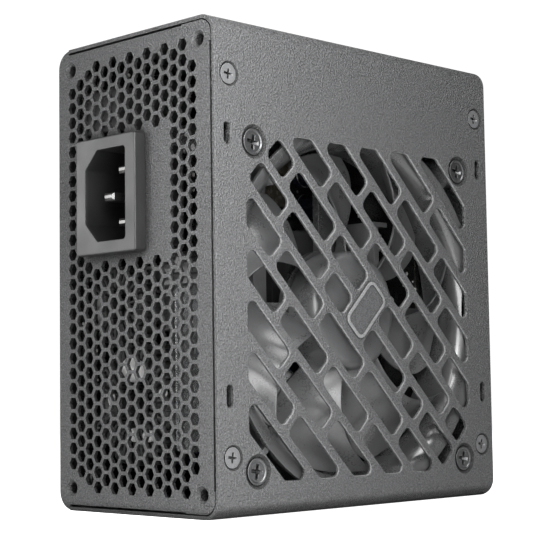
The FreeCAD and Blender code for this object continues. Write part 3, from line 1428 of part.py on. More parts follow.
# ================================================================ output
def all_nodes():
    """Every node's name and shape."""
    nodes = {
        "base_shell": build_base_shell(),
        "fan_cover": build_fan_cover(),
        "badge_plate": build_badge_plate(),
        "cover_screws": build_cover_screws(),
        "fan_screws": build_fan_screws(),
        "board_standoffs": build_board_standoffs(),
        "board_screws": build_board_screws(),
        "insulation_sheet": build_insulation_sheet(),
        "air_baffle": build_air_baffle(),
        "fan_frame": build_fan_frame(),
        "fan_rotor": build_fan_rotor(),
        "rotor_yoke": build_rotor_yoke(),
        "magnet_ring": build_magnet_ring(),
        "fan_shaft": build_fan_shaft(),
        "shaft_clip": build_shaft_clip(),
        "bearing_bush": build_bearing_bush(),
        "stator_core": build_stator_core(),
        "stator_coils": build_stator_coils(),
        "fan_board": build_fan_board(),
        "fan_cable": build_fan_cable(),
        "fan_plug": build_fan_plug(),
        "inlet_housing": build_inlet_housing(),
        "filter_board": build_filter_board(),
        "x_capacitor": build_x_capacitor(),
        "y_capacitors": build_y_capacitors(),
        "mains_fuse": build_mains_fuse(),
        "mains_wires": build_mains_wires(),
        "main_board": build_main_board(),
        "line_choke_core": toroid_core(*LINE_CORE),
        "line_choke_winding": toroid_winding(*LINE_CORE, *LINE_WIRE),
        "boost_choke_core": toroid_core(*BOOST_CORE),
        "boost_choke_winding": toroid_winding(*BOOST_CORE, *BOOST_WIRE),
        "bridge_heatsink": build_bridge_heatsink(),
        "bridge_rectifier": build_bridge_rectifier(),
        "primary_heatsink": build_primary_heatsink(),
        "primary_transistors": build_primary_transistors(),
        "bulk_capacitor": build_bulk_capacitor(),
        "transformer_core": build_transformer_core(),
        "transformer_winding": build_transformer_winding(),
        "standby_transformer": build_standby_transformer(),
        "control_board": build_control_board(),
        "secondary_heatsink": build_secondary_heatsink(),
        "output_busbars": build_output_busbars(),
        "output_capacitors": build_output_capacitors(),
        "relay": build_relay(),
        "inrush_thermistor": build_inrush_thermistor(),
        "modular_board": build_modular_board(),
        "socket_pins": build_socket_pins(),
    }
    nodes.update(inlet_pins())
    for name, y, z, width, height, columns, pitch in socket_layout():
        nodes[name] = build_socket(y, z, width, height, columns, pitch)
    return nodes


def main():
    """Writes one file for each node and prints what it holds."""
    os.makedirs("parts", exist_ok=True)
    for name, shape in all_nodes().items():
        shape.exportStep("parts/" + name + ".step")
        limits = shape.BoundBox
        print(name, len(shape.Solids), "solids, valid", shape.isValid(), "volume", round(shape.Volume, 1),
              "x", round(limits.XMin, 2), round(limits.XMax, 2), "y", round(limits.YMin, 2),
              round(limits.YMax, 2), "z", round(limits.ZMin, 2), round(limits.ZMax, 2))


main()
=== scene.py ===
import json
import math

import bmesh
import bpy
from mathutils import Matrix, Vector


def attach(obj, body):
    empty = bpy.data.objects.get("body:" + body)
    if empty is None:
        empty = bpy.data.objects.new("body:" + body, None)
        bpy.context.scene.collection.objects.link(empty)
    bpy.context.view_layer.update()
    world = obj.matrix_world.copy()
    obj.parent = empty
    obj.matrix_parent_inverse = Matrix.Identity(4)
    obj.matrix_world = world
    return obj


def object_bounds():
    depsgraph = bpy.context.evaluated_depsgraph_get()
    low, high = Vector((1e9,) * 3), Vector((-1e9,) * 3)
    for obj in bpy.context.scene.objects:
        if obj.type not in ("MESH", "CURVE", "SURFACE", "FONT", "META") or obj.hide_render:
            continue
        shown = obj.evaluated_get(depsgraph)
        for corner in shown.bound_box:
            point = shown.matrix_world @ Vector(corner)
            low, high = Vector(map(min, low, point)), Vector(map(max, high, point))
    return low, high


# Small form factor power supply, standing on its narrow end. Metres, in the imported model's frame.
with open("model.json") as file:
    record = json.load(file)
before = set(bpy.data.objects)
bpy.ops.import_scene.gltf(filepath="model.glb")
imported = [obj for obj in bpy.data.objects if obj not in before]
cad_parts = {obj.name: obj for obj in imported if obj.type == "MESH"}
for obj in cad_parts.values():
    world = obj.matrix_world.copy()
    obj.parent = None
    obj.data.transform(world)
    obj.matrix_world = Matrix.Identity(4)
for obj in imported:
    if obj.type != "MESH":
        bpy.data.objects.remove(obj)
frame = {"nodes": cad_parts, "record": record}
cad_low, cad_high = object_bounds()
MM = 0.001
CASE_X, CASE_Y, CASE_Z = cad_high            # half the casing's depth, half its thickness, and its height
PANEL_HOLES = (29.5 * MM, 60.0 * MM)         # reach of the end panels' openings from the middle, in y and z
GRILLE_ACROSS = 44.0 * MM                    # how far the grille reaches from the middle in x
GRILLE_DIAGONAL = 76.0 * MM                  # the same for x and z added, at its cut corners
INLET_MIDDLE = (6.9 * MM, 82.8 * MM)         # y and z of the middle of the inlet's cavity
INLET_HALF = (8.35 * MM, 12.25 * MM)         # half its width and half its height
# the fan face's screws: distance from the middle across, distance above and below a level, the level itself,
# and the reach of the countersink
COUNTERSINKS = (
    (49.7 * MM, 47.5 * MM, 62.5 * MM, 3.4 * MM),
    (41.25 * MM, 41.25 * MM, 52.5 * MM, 4.7 * MM),
)


# ================================================================ shading helpers
class Shader:
    """One node material, built up from small steps."""

    def __init__(self, name):
        self.material = bpy.data.materials.new(name)
        self.material.use_nodes = True
        self.tree = self.material.node_tree
        self.tree.nodes.clear()
        self.output = self.add("ShaderNodeOutputMaterial")
        self.bsdf = self.add("ShaderNodeBsdfPrincipled")
        self.link(self.bsdf.outputs["BSDF"], self.output.inputs["Surface"])
        self.place = self.add("ShaderNodeTexCoord").outputs["Object"]

    def add(self, kind, **settings):
        """A new node of the tree."""
        node = self.tree.nodes.new(kind)
        for key, value in settings.items():
            setattr(node, key, value)
        return node

    def link(self, source, target):
        """Wire an output to an input."""
        self.tree.links.new(source, target)

    def feed(self, socket, value):
        """Link an output into a socket, or set the socket when the value is plain."""
        if isinstance(value, bpy.types.NodeSocket):
            self.link(value, socket)
        else:
            socket.default_value = value

    def math(self, operation, first, second=0.5, third=0.0):
        """One step of arithmetic on single values."""
        node = self.add("ShaderNodeMath", operation=operation)
        for socket, value in zip(node.inputs, (first, second, third)):
            self.feed(socket, value)
        return node.outputs[0]

    def vector(self, operation, first, second):
        """One step of arithmetic on vectors."""
        node = self.add("ShaderNodeVectorMath", operation=operation)
        self.feed(node.inputs[0], first)
        self.feed(node.inputs[1], second)
        return node.outputs["Value"] if operation == "DOT_PRODUCT" else node.outputs[0]

    def scaled(self, factors):
        """Coordinates stretched by a factor along each axis."""
        return self.vector("MULTIPLY", self.place, factors)

    def noise(self, size, detail=2.0, rough=0.5, place=None, seed=0.0):
        """Noise whose features are about size metres across, as 0 to 1."""
        node = self.add("ShaderNodeTexNoise", noise_dimensions="4D")
        self.link(self.place if place is None else place, node.inputs["Vector"])
        node.inputs["W"].default_value = seed
        node.inputs["Scale"].default_value = 1.0 / size
        node.inputs["Detail"].default_value = detail
        node.inputs["Roughness"].default_value = rough
        return node.outputs["Fac"]

    def cells(self, size, feature="F1", place=None):
        """Distances in Voronoi cells about size metres across."""
        node = self.add("ShaderNodeTexVoronoi", feature=feature)
        self.link(self.place if place is None else place, node.inputs["Vector"])
        node.inputs["Scale"].default_value = 1.0 / size
        return node.outputs["Distance"]

    def spread(self, value, low, high, to_low=0.0, to_high=1.0):
        """A value moved from one range to another, kept inside it."""
        node = self.add("ShaderNodeMapRange", clamp=True)
        self.feed(node.inputs["Value"], value)
        for key, number in (("From Min", low), ("From Max", high), ("To Min", to_low), ("To Max", to_high)):
            self.feed(node.inputs[key], number)
        return node.outputs["Result"]

    def mix(self, amount, first, second):
        """Two colours mixed: the first at 0, the second at 1."""
        node = self.add("ShaderNodeMix", data_type="RGBA")
        self.feed(node.inputs["Factor"], amount)
        for socket, value in ((node.inputs[6], first), (node.inputs[7], second)):
            self.feed(socket, value if isinstance(value, bpy.types.NodeSocket) else (*value, 1.0))
        return node.outputs[2]

    def split(self, vector=None):
        """The x, y and z of a vector, or of the place on the object."""
        node = self.add("ShaderNodeSeparateXYZ")
        self.link(self.place if vector is None else vector, node.inputs[0])
        return node.outputs

    def facing(self, index):
        """How far a surface faces along one axis, -1 to 1."""
        return self.split(self.add("ShaderNodeNewGeometry").outputs["True Normal"])[index]

    def edge(self, radius, samples=4):
        """Rounded normal near the edges, and how near an edge is, 0 to 1."""
        rounded = self.add("ShaderNodeBevel", samples=samples)
        rounded.inputs["Radius"].default_value = radius
        geometry = self.add("ShaderNodeNewGeometry")
        along = self.vector("DOT_PRODUCT", rounded.outputs["Normal"], geometry.outputs["True Normal"])
        return rounded.outputs["Normal"], self.spread(along, 1.0, 0.72)

    def open_air(self, reach, low=0.35, high=0.85, samples=4):
        """How open a point lies, 0 in a crevice and 1 in the open."""
        node = self.add("ShaderNodeAmbientOcclusion", samples=samples)
        node.inputs["Distance"].default_value = reach
        return self.spread(node.outputs["AO"], low, high)

    def bump(self, height, depth, normal=None):
        """Bump of a height map, depth metres from low to high."""
        node = self.add("ShaderNodeBump")
        node.inputs["Distance"].default_value = depth
        self.link(height, node.inputs["Height"])
        if normal is not None:
            self.link(normal, node.inputs["Normal"])
        return node.outputs["Normal"]

    def finish(self, color, rough, metal=0.0, normal=None, **sockets):
        """The finished material; other sockets are named with _ for a space."""
        self.feed(self.bsdf.inputs["Base Color"], color)
        self.feed(self.bsdf.inputs["Roughness"], rough)
        self.bsdf.inputs["Metallic"].default_value = metal
        if normal is not None:
            self.link(normal, self.bsdf.inputs["Normal"])
        for key, value in sockets.items():
            self.bsdf.inputs[key.replace("_", " ")].default_value = value
        return self.material


# ================================================================ masks of places on the casing
def within(s, value, limit):
    """1 where the size of a value stays under a limit, with a soft border."""
    return s.spread(s.math("ABSOLUTE", value), limit, limit - 0.1 * MM)


def flatness(s, index):
    """How much a surface faces along one axis, either way, 0 to 1."""
    return s.math("ABSOLUTE", s.facing(index))


def all_of(s, first, *others):
    """Masks multiplied: 1 only where each of them is."""
    for other in others:
        first = s.math("MULTIPLY", first, other)
    return first


def hole_wall(s):
    """1 on the thin walls of the openings in the end panels, which are darkened as painted shade."""
    x, y, z = s.split()
    middle = s.math("SUBTRACT", z, 0.5 * CASE_Z)
    near_end = s.spread(s.math("ABSOLUTE", x), CASE_X - 1.1 * MM, CASE_X - 1.0 * MM)
    edgewise = s.spread(flatness(s, 0), 0.7, 0.3)
    return all_of(s, within(s, y, PANEL_HOLES[0]), within(s, middle, PANEL_HOLES[1]), near_end, edgewise)


def grille_rim(s):
    """1 on the rounded rims of the grille's cells, which are lightened in colour as a painted highlight."""
    x, y, z = s.split()
    middle = s.math("ABSOLUTE", s.math("SUBTRACT", z, 0.5 * CASE_Z))
    diagonal = s.math("ADD", s.math("ABSOLUTE", x), middle)
    front = s.spread(y, -CASE_Y + 0.5 * MM, -CASE_Y + 0.42 * MM)
    turned = s.spread(flatness(s, 1), 0.88, 0.6)
    return all_of(s, within(s, x, GRILLE_ACROSS), within(s, diagonal, GRILLE_DIAGONAL), front, turned)


def screw_sink(s):
    """1 on the slopes around the countersunk screws of the fan face, which are darkened as painted shade."""
    x, y, z = s.split()
    found = None
    for across, rise, level, reach in COUNTERSINKS:
        dx = s.math("SUBTRACT", s.math("ABSOLUTE", x), across)
        dz = s.math("SUBTRACT", s.math("ABSOLUTE", s.math("SUBTRACT", z, level)), rise)
        away = s.math("SQRT", s.math("MULTIPLY_ADD", dx, dx, s.math("MULTIPLY", dz, dz)))
        ring = s.spread(away, reach, reach - 0.2 * MM)
        found = ring if found is None else s.math("MAXIMUM", found, ring)
    front = s.spread(y, -CASE_Y + 1.4 * MM, -CASE_Y + 1.2 * MM)
    return all_of(s, found, front, s.spread(flatness(s, 1), 0.92, 0.85))


def inlet_cavity(s):
    """1 on the walls and floor of the inlet's cavity, which are darkened as painted shade."""
    x, y, z = s.split()
    wide = within(s, s.math("SUBTRACT", y, INLET_MIDDLE[0]), INLET_HALF[0])
    tall = within(s, s.math("SUBTRACT", z, INLET_MIDDLE[1]), INLET_HALF[1])
    return all_of(s, wide, tall, s.spread(x, -CASE_X - 3.3 * MM, -CASE_X - 2.4 * MM))


# ================================================================ materials
def moulded(name, dark, light, rough, grain=0.45 * MM, depth=0.02 * MM, edge=0.25 * MM, wear=0.25,
            metal=0.0, crevice_shade=0.8, reach=0.9 * MM, shaded=None, **sockets):
    """Moulded or painted surface: fine grain, soft patches, rounded and slightly worn edges.

    Painted shade darkens crevices narrower than the reach, and shaded gives a mask of a region darkened with
    painted shade.
    """
    s = Shader(name)
    fine = s.noise(grain, 3.0, 0.55)
    broad = s.noise(9 * MM, 3.0, 0.5, seed=2.0)
    rounded, near = s.edge(edge)
    tone = s.math("MULTIPLY_ADD", fine, 0.6, s.math("MULTIPLY", broad, 0.4))
    color = s.mix(s.spread(tone, 0.32, 0.68), dark, light)
    pale = tuple(min(1.0, 1.9 * c + 0.05) for c in light)
    worn = s.math("MULTIPLY", near, s.spread(s.noise(1.3 * MM, 2.0, seed=5.0), 0.35, 0.65, 0.5 * wear, wear))
    color = s.mix(worn, color, pale)
    # painted shade: colour darkened in crevices narrower than the reach
    open_air = s.spread(s.open_air(reach), 0.0, 1.0, 1.0 - crevice_shade, 1.0)
    color = s.mix(open_air, (0.006, 0.006, 0.006), color)
    # painted shade: colour darkened over the region that the mask marks
    if shaded is not None:
        color = s.mix(s.math("MULTIPLY", shaded(s), 0.8), color, (0.004, 0.004, 0.004))
    gloss = s.math("ADD", broad, s.math("MULTIPLY", fine, 0.5))
    roughness = s.spread(gloss, 0.45, 1.05, rough - 0.07, rough + 0.08)
    return s.finish(color, roughness, metal, s.bump(fine, depth, rounded), **sockets)


def powder_coat():
    """Textured powder paint: fine sandy grain over soft orange peel, edges a little lighter, painted
    highlights on the grille's rims, and painted shade in crevices, hole walls and screw sinks.
    """
    s = Shader("powder_coat")
    bare_and_highlight, shade_tone = (0.3, 0.301, 0.305), (0.008, 0.008, 0.0085)
    sand = s.noise(0.46 * MM, 1.5, 0.5)
    peel = s.noise(1.5 * MM, 2.0, 0.5, seed=3.0)
    broad = s.noise(22 * MM, 3.0, 0.5, seed=7.0)
    rounded, near = s.edge(0.28 * MM, 6)
    tone = s.math("MULTIPLY_ADD", sand, 0.85, s.math("MULTIPLY", peel, 0.15))
    color = s.mix(s.spread(tone, 0.34, 0.66), (0.044, 0.0445, 0.0457), (0.136, 0.1373, 0.14))
    glint = s.spread(sand, 0.6, 0.7)
    color = s.mix(s.math("MULTIPLY", glint, 0.3), color, (0.26, 0.26, 0.265))
    worn = s.math("MULTIPLY", near, s.spread(s.noise(1.1 * MM, 3.0, seed=5.0), 0.3, 0.62, 0.35, 0.65))
    color = s.mix(worn, color, bare_and_highlight)
    rim, wall = grille_rim(s), hole_wall(s)
    # painted highlight: the grille's rims lightened in colour
    color = s.mix(s.math("MULTIPLY", rim, 0.75), color, bare_and_highlight)
    # painted shade: colour darkened in crevices and gaps
    color = s.mix(s.open_air(3.2 * MM, 0.68, 0.9), shade_tone, color)
    # painted shade: the walls of the end panels' openings darkened, away from their edges
    color = s.mix(s.math("MULTIPLY", wall, s.math("SUBTRACT", 1.0, near)), color, shade_tone)
    # painted shade: the slopes around the fan face's screws darkened
    color = s.mix(s.math("MULTIPLY", screw_sink(s), 0.8), color, (0.012, 0.012, 0.0125))
    rough = s.spread(s.math("MULTIPLY_ADD", broad, 0.6, s.math("MULTIPLY", sand, 0.4)), 0.3, 0.7, 0.48, 0.62)
    rough = s.math("MULTIPLY_ADD", rim, -0.2, rough)
    height = s.math("MULTIPLY_ADD", sand, 0.9, s.math("MULTIPLY", peel, 0.25))
    normal = s.bump(height, 1.05 * MM, rounded)
    return s.finish(color, rough, 0.0, normal)


def badge_metal():
    """Painted plate; its raised border and edges are lightened as a painted highlight, and its crevices
    darkened as painted shade.
    """
    s = Shader("badge_metal")
    sand = s.noise(0.4 * MM, 1.5, 0.5)
    rounded, near = s.edge(0.25 * MM)
    color = s.mix(s.spread(sand, 0.34, 0.66), (0.055, 0.0555, 0.057), (0.125, 0.126, 0.129))
    border = s.spread(s.split()[1], -CASE_Y - 0.23 * MM, -CASE_Y - 0.31 * MM)
    # painted highlight: the raised border and the edges lightened in colour
    rim_highlight = s.math("MAXIMUM", s.math("MULTIPLY", border, 0.7), s.math("MULTIPLY", near, 0.8))
    color = s.mix(s.math("MULTIPLY", rim_highlight, s.spread(sand, 0.3, 0.6, 0.6, 1.0)), color, (0.34, 0.342, 0.346))
    # painted shade: colour darkened in crevices
    color = s.mix(s.open_air(1.2 * MM, 0.6, 0.9), (0.02, 0.02, 0.0205), color)
    rough = s.spread(sand, 0.3, 0.7, 0.36, 0.5)
    return s.finish(color, rough, 0.15, s.bump(sand, 0.25 * MM, rounded))


def brushed(name, dark, light, rough, along="y", metal=1.0, crevice_shade=0.0):
    """Bare or plated metal with fine lines along one axis, and painted shade deep inside if asked."""
    s = Shader(name)
    factors = {"x": (0.04, 1, 1), "y": (1, 0.04, 1), "z": (1, 1, 0.04)}[along]
    lines = s.noise(0.12 * MM, 3.0, 0.6, s.scaled(factors))
    broad = s.noise(4 * MM, 3.0, seed=4.0)
    rounded, near = s.edge(0.12 * MM)
    tone = s.math("MULTIPLY_ADD", lines, 0.6, s.math("MULTIPLY", broad, 0.4))
    color = s.mix(s.spread(tone, 0.3, 0.7), dark, light)
    color = s.mix(s.math("MULTIPLY", near, 0.5), color, tuple(min(1.0, 1.3 * c + 0.05) for c in light))
    # painted shade: colour darkened deep in recesses
    if crevice_shade:
        open_air = s.spread(s.open_air(12 * MM, 0.3, 0.75), 0.0, 1.0, 1.0 - crevice_shade, 1.0)
        color = s.mix(open_air, (0.01, 0.01, 0.01), color)
    roughness = s.spread(tone, 0.3, 0.7, rough - 0.07, rough + 0.1)
    return s.finish(color, roughness, metal, s.bump(lines, 0.01 * MM, rounded))


def board_laminate():
    """Printed board: glass weave under solder mask, tracks showing as a lighter relief, pads."""
    s = Shader("board_laminate")
    grid = s.vector("SNAP", s.place, (1.27 * MM,) * 3)
    tracks = s.cells(6.0 * MM, "DISTANCE_TO_EDGE", grid)
    copper = s.spread(tracks, 0.10, 0.14)
    weave = s.noise(0.35 * MM, 2.0, 0.6)
    pads = s.spread(s.cells(3.4 * MM), 0.17, 0.14)
    rounded, near = s.edge(0.2 * MM)
    color = s.mix(copper, (0.006, 0.0065, 0.006), (0.016, 0.017, 0.016))
    color = s.mix(s.spread(weave, 0.35, 0.65, 0.0, 0.3), color, (0.005, 0.005, 0.005))
    color = s.mix(pads, color, (0.5, 0.5, 0.48))
    color = s.mix(s.math("MULTIPLY", near, 0.6), color, (0.22, 0.21, 0.17))
    height = s.math("MULTIPLY_ADD", copper, 0.7, pads)
    rough = s.spread(weave, 0.3, 0.7, 0.22, 0.36)
    return s.finish(color, rough, 0.0, s.bump(height, 0.05 * MM, rounded), Coat_Weight=0.4)


def copper_wire():
    """Enamelled copper: deep orange brown, each turn its own tone."""
    s = Shader("copper")
    turn = s.noise(1.7 * MM, 1.0, 0.5, seed=1.0)
    fine = s.noise(0.25 * MM, 2.0)
    rounded, near = s.edge(0.1 * MM)
    color = s.mix(s.spread(turn, 0.3, 0.7), (0.42, 0.15, 0.06), (0.74, 0.33, 0.16))
    color = s.mix(s.math("MULTIPLY", near, 0.4), color, (0.9, 0.55, 0.35))
    rough = s.spread(fine, 0.3, 0.7, 0.2, 0.34)
    normal = s.bump(fine, 0.008 * MM, rounded)
    return s.finish(color, rough, 0.85, normal, Coat_Weight=0.6, Coat_Roughness=0.12)


def lamination():
    """Stack of thin sheets, seen on edge."""
    s = Shader("lamination")
    pitch = 0.45 * MM
    stack = s.math("SINE", s.math("MULTIPLY", s.split()[1], 2 * math.pi / pitch))
    fine = s.noise(0.3 * MM, 3.0)
    rounded, _ = s.edge(0.1 * MM)
    color = s.mix(s.spread(stack, -0.6, 0.8), (0.16, 0.16, 0.165), (0.5, 0.5, 0.51))
    color = s.mix(s.spread(fine, 0.5, 0.75, 0.0, 0.4), color, (0.3, 0.2, 0.13))
    rough = s.spread(fine, 0.3, 0.7, 0.35, 0.5)
    return s.finish(color, rough, 0.8, s.bump(stack, 0.03 * MM, rounded))


def winding_tape():
    """Dark polyester tape: overlapping turns with slightly raised borders."""
    s = Shader("winding_tape")
    tape_width = 5.5 * MM
    turns = s.math("FRACT", s.math("MULTIPLY", s.split()[1], 1.0 / tape_width))
    border = s.spread(turns, 0.0, 0.08, 1.0, 0.0)
    wrinkle = s.noise(1.2 * MM, 4.0, 0.6, s.scaled((1, 0.35, 1)))
    rounded, near = s.edge(0.3 * MM)
    color = s.mix(s.spread(wrinkle, 0.3, 0.7), (0.05, 0.045, 0.035), (0.1, 0.092, 0.075))
    color = s.mix(s.math("MULTIPLY", border, 0.45), color, (0.03, 0.027, 0.02))
    color = s.mix(s.math("MULTIPLY", near, 0.3), color, (0.3, 0.28, 0.24))
    rough = s.spread(wrinkle, 0.3, 0.7, 0.18, 0.34)
    height = s.math("MULTIPLY_ADD", turns, 0.6, wrinkle)
    return s.finish(color, rough, 0.0, s.bump(height, 0.06 * MM, rounded), Coat_Weight=0.3)


def capacitor_sleeve():
    """Dark shrink sleeve with a bare aluminium top."""
    s = Shader("capacitor_sleeve")
    top = s.spread(s.facing(1), -0.9, -0.97)
    ripple = s.noise(2.5 * MM, 3.0, 0.5, s.scaled((1, 0.3, 1)))
    fine = s.noise(0.2 * MM, 2.0)
    rounded, near = s.edge(0.3 * MM)
    color = s.mix(s.spread(ripple, 0.3, 0.7), (0.012, 0.014, 0.03), (0.03, 0.034, 0.06))
    color = s.mix(s.math("MULTIPLY", near, 0.25), color, (0.2, 0.21, 0.25))
    color = s.mix(top, color, (0.75, 0.75, 0.76))
    rough = s.spread(s.math("MULTIPLY_ADD", fine, 0.3, ripple), 0.4, 0.9, 0.2, 0.34)
    material = s.finish(color, rough, 0.0, s.bump(ripple, 0.04 * MM, rounded), Coat_Weight=0.3)
    s.link(s.math("MULTIPLY", top, 0.95), s.bsdf.inputs["Metallic"])
    return material


def clear_film():
    """Thin clear sheet with a slight haze and small scuffs."""
    s = Shader("clear_sheet")
    haze = s.noise(3 * MM, 4.0, 0.6)
    scuff = s.spread(s.noise(0.4 * MM, 2.0, 0.6, s.scaled((1, 1, 0.1)), 6.0), 0.62, 0.72)
    rounded, near = s.edge(0.15 * MM)
    color = s.mix(s.math("MAXIMUM", scuff, near), (0.86, 0.88, 0.89), (1.0, 1.0, 1.0))
    rough = s.spread(s.math("ADD", haze, s.math("MULTIPLY", scuff, 0.4)), 0.3, 1.0, 0.08, 0.45)
    return s.finish(color, rough, 0.0, s.bump(haze, 0.05 * MM, rounded), Transmission_Weight=0.8, IOR=1.5)


def grey(low, high):
    """A dark and a light grey, both very slightly blue."""
    return (low, low * 1.01, low * 1.03), (high, high * 1.01, high * 1.03)


# moulded takes two colours, roughness, grain size and depth, edge radius and wear; brushed takes two colours,
# roughness and the axis of its lines
MATERIALS = {
    "powder_coat": powder_coat(),
    "badge_metal": badge_metal(),
    "cover_screw_steel": moulded("cover_screw_steel", *grey(0.13, 0.24), 0.42, 0.3 * MM, 0.02 * MM, 0.18 * MM,
                                 0.7, metal=0.35, crevice_shade=0.95, reach=1.6 * MM),
    "fan_screw_steel": moulded("fan_screw_steel", *grey(0.09, 0.17), 0.32, 0.4 * MM, 0.015 * MM, 0.2 * MM,
                               0.8, metal=0.8, crevice_shade=0.95, reach=1.6 * MM),
    "bright_steel": brushed("bright_steel", (0.42, 0.42, 0.43), (0.66, 0.66, 0.67), 0.28),
    "insulator": moulded("insulator", *grey(0.018, 0.032), 0.5, 0.5 * MM, 0.03 * MM),
    "clear_sheet": clear_film(),
    "fan_plastic": moulded("fan_plastic", *grey(0.045, 0.06), 0.28, 0.4 * MM, 0.01 * MM, 0.3 * MM, 0.15,
                           crevice_shade=0.3, Specular_IOR_Level=1.0, Coat_Weight=0.8, Coat_Roughness=0.2),
    "rotor_plastic": moulded("rotor_plastic", *grey(0.07, 0.1), 0.3, 0.5 * MM, 0.01 * MM, 0.35 * MM, 0.2,
                             crevice_shade=0.0, Specular_IOR_Level=0.8),
    "ferrite": moulded("ferrite", *grey(0.03, 0.06), 0.5, 0.25 * MM, 0.03 * MM, 0.3 * MM, 0.4),
    "core_coating": moulded("core_coating", (0.03, 0.034, 0.03), (0.055, 0.06, 0.053), 0.35, 0.8 * MM,
                            0.04 * MM),
    "clip_plastic": moulded("clip_plastic", (0.6, 0.6, 0.57), (0.76, 0.76, 0.72), 0.4, 0.4 * MM, 0.02 * MM),
    "bronze": brushed("bronze", (0.42, 0.27, 0.12), (0.62, 0.44, 0.22), 0.4),
    "lamination": lamination(),
    "copper": copper_wire(),
    "dark_enamel": moulded("dark_enamel", *grey(0.03, 0.06), 0.3, 0.6 * MM, 0.02 * MM, 0.15 * MM, 0.3),
    "board_laminate": board_laminate(),
    "cable_jacket": moulded("cable_jacket", *grey(0.015, 0.03), 0.38, 0.5 * MM, 0.02 * MM),
    "inlet_plastic": moulded("inlet_plastic", *grey(0.018, 0.026), 0.42, 0.35 * MM, 0.03 * MM, 0.3 * MM, 0.0,
                            crevice_shade=0.95, reach=16 * MM, shaded=inlet_cavity, Specular_IOR_Level=0.75),
    "pin_metal": brushed("pin_metal", (0.22, 0.22, 0.215), (0.36, 0.36, 0.355), 0.42, "x", crevice_shade=0.97),
    "film_box": moulded("film_box", (0.2, 0.19, 0.16), (0.32, 0.31, 0.27), 0.35, 0.5 * MM, 0.03 * MM),
    "disc_blue": moulded("disc_blue", (0.03, 0.12, 0.3), (0.06, 0.2, 0.46), 0.3, 0.7 * MM, 0.04 * MM),
    "ceramic": moulded("ceramic", (0.3, 0.3, 0.28), (0.42, 0.42, 0.4), 0.3, 0.5 * MM, 0.015 * MM),
    "aluminium_sink": brushed("aluminium_sink", (0.2, 0.2, 0.205), (0.32, 0.32, 0.325), 0.45, "z", metal=0.5),
    "chip_epoxy": moulded("chip_epoxy", *grey(0.02, 0.04), 0.48, 0.2 * MM, 0.02 * MM),
    "capacitor_sleeve": capacitor_sleeve(),
    "winding_tape": winding_tape(),
    "thermistor_coat": moulded("thermistor_coat", (0.014, 0.018, 0.015), (0.03, 0.036, 0.031), 0.35, 0.6 * MM,
                               0.04 * MM),
    "socket_plastic": moulded("socket_plastic", *grey(0.018, 0.034), 0.42, 0.3 * MM, 0.02 * MM, 0.2 * MM,
                              0.2),
}

for part in frame["record"]["subparts"]:
    piece = frame["nodes"][part["node"]]
    piece.data.materials.clear()
    piece.data.materials.append(MATERIALS[part["material_slot"]])


# ================================================================ fixing compound
# millimetres: y and z of the middle, then half sizes along x, y and z; last the outline's phase in radians
DABS = (
    ("fixing_dab_1", (4.9, 37.2), (3.2, 4.6, 3.9), 0.4),
    ("fixing_dab_2", (-6.4, 31.0), (1.5, 1.5, 1.6), 2.1),
    ("fixing_dab_3", (14.3, 29.4), (1.5, 1.3, 1.8), 3.7),
    ("fixing_dab_4", (-0.9, 20.0), (2.0, 2.3, 1.9), 1.2),
    ("fixing_dab_5", (5.4, 20.2), (1.7, 1.7, 1.8), 5.0),
)
DAB_BASE_X = -49.72         # just against the boost choke's turns
DAB_RINGS, DAB_TURNS = 5, 14
COMPOUND = moulded("fixing_compound", (0.8, 0.8, 0.79), (0.92, 0.92, 0.91), 0.4, 0.9 * MM, 0.08 * MM,
                   crevice_shade=0.0)


def dab(name, middle, half, phase):
    """Soft dab of white compound that holds the choke's winding, uneven in outline."""
    mesh = bmesh.new()
    crown = mesh.verts.new((-half[0], 0, 0))
    before = None
    for ring in range(1, DAB_RINGS + 1):
        lean = 0.5 * math.pi * ring / DAB_RINGS
        row = []
        for turn in range(DAB_TURNS):
            angle = 2 * math.pi * turn / DAB_TURNS
            wobble = 1 + 0.13 * math.sin(2 * angle + phase) + 0.08 * math.sin(5 * angle + 2 * phase)
            reach = math.sin(lean) * wobble
            row.append(mesh.verts.new((-half[0] * math.cos(lean), half[1] * reach * math.cos(angle),
                                       half[2] * reach * math.sin(angle))))
        for turn in range(DAB_TURNS):
            after = (turn + 1) % DAB_TURNS
            if before is None:
                mesh.faces.new((crown, row[after], row[turn]))
            else:
                mesh.faces.new((before[turn], before[after], row[after], row[turn]))
        before = row
    mesh.faces.new(before)
    bmesh.ops.recalc_face_normals(mesh, faces=mesh.faces)
    for vert in mesh.verts:
        vert.co *= MM
    for face in mesh.faces:
        face.smooth = True
    data = bpy.data.meshes.new(name)
    mesh.to_mesh(data)
    mesh.free()
    piece = bpy.data.objects.new(name, data)
    bpy.context.scene.collection.objects.link(piece)
    piece.location = (DAB_BASE_X * MM, middle[0] * MM, middle[1] * MM)
    piece.modifiers.new("soften", "SUBSURF").render_levels = 2
    data.materials.append(COMPOUND)
    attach(piece, "casing")


for name, middle, half, phase in DABS:
    dab(name, middle, half, phase)


# ================================================================ floor, light, camera
CORNER_X, CORNER_Y = -0.05, -0.03       # a little inside the upright corner that the camera looks at
MIDDLE = (0, 0, 0.5 * CASE_Z)
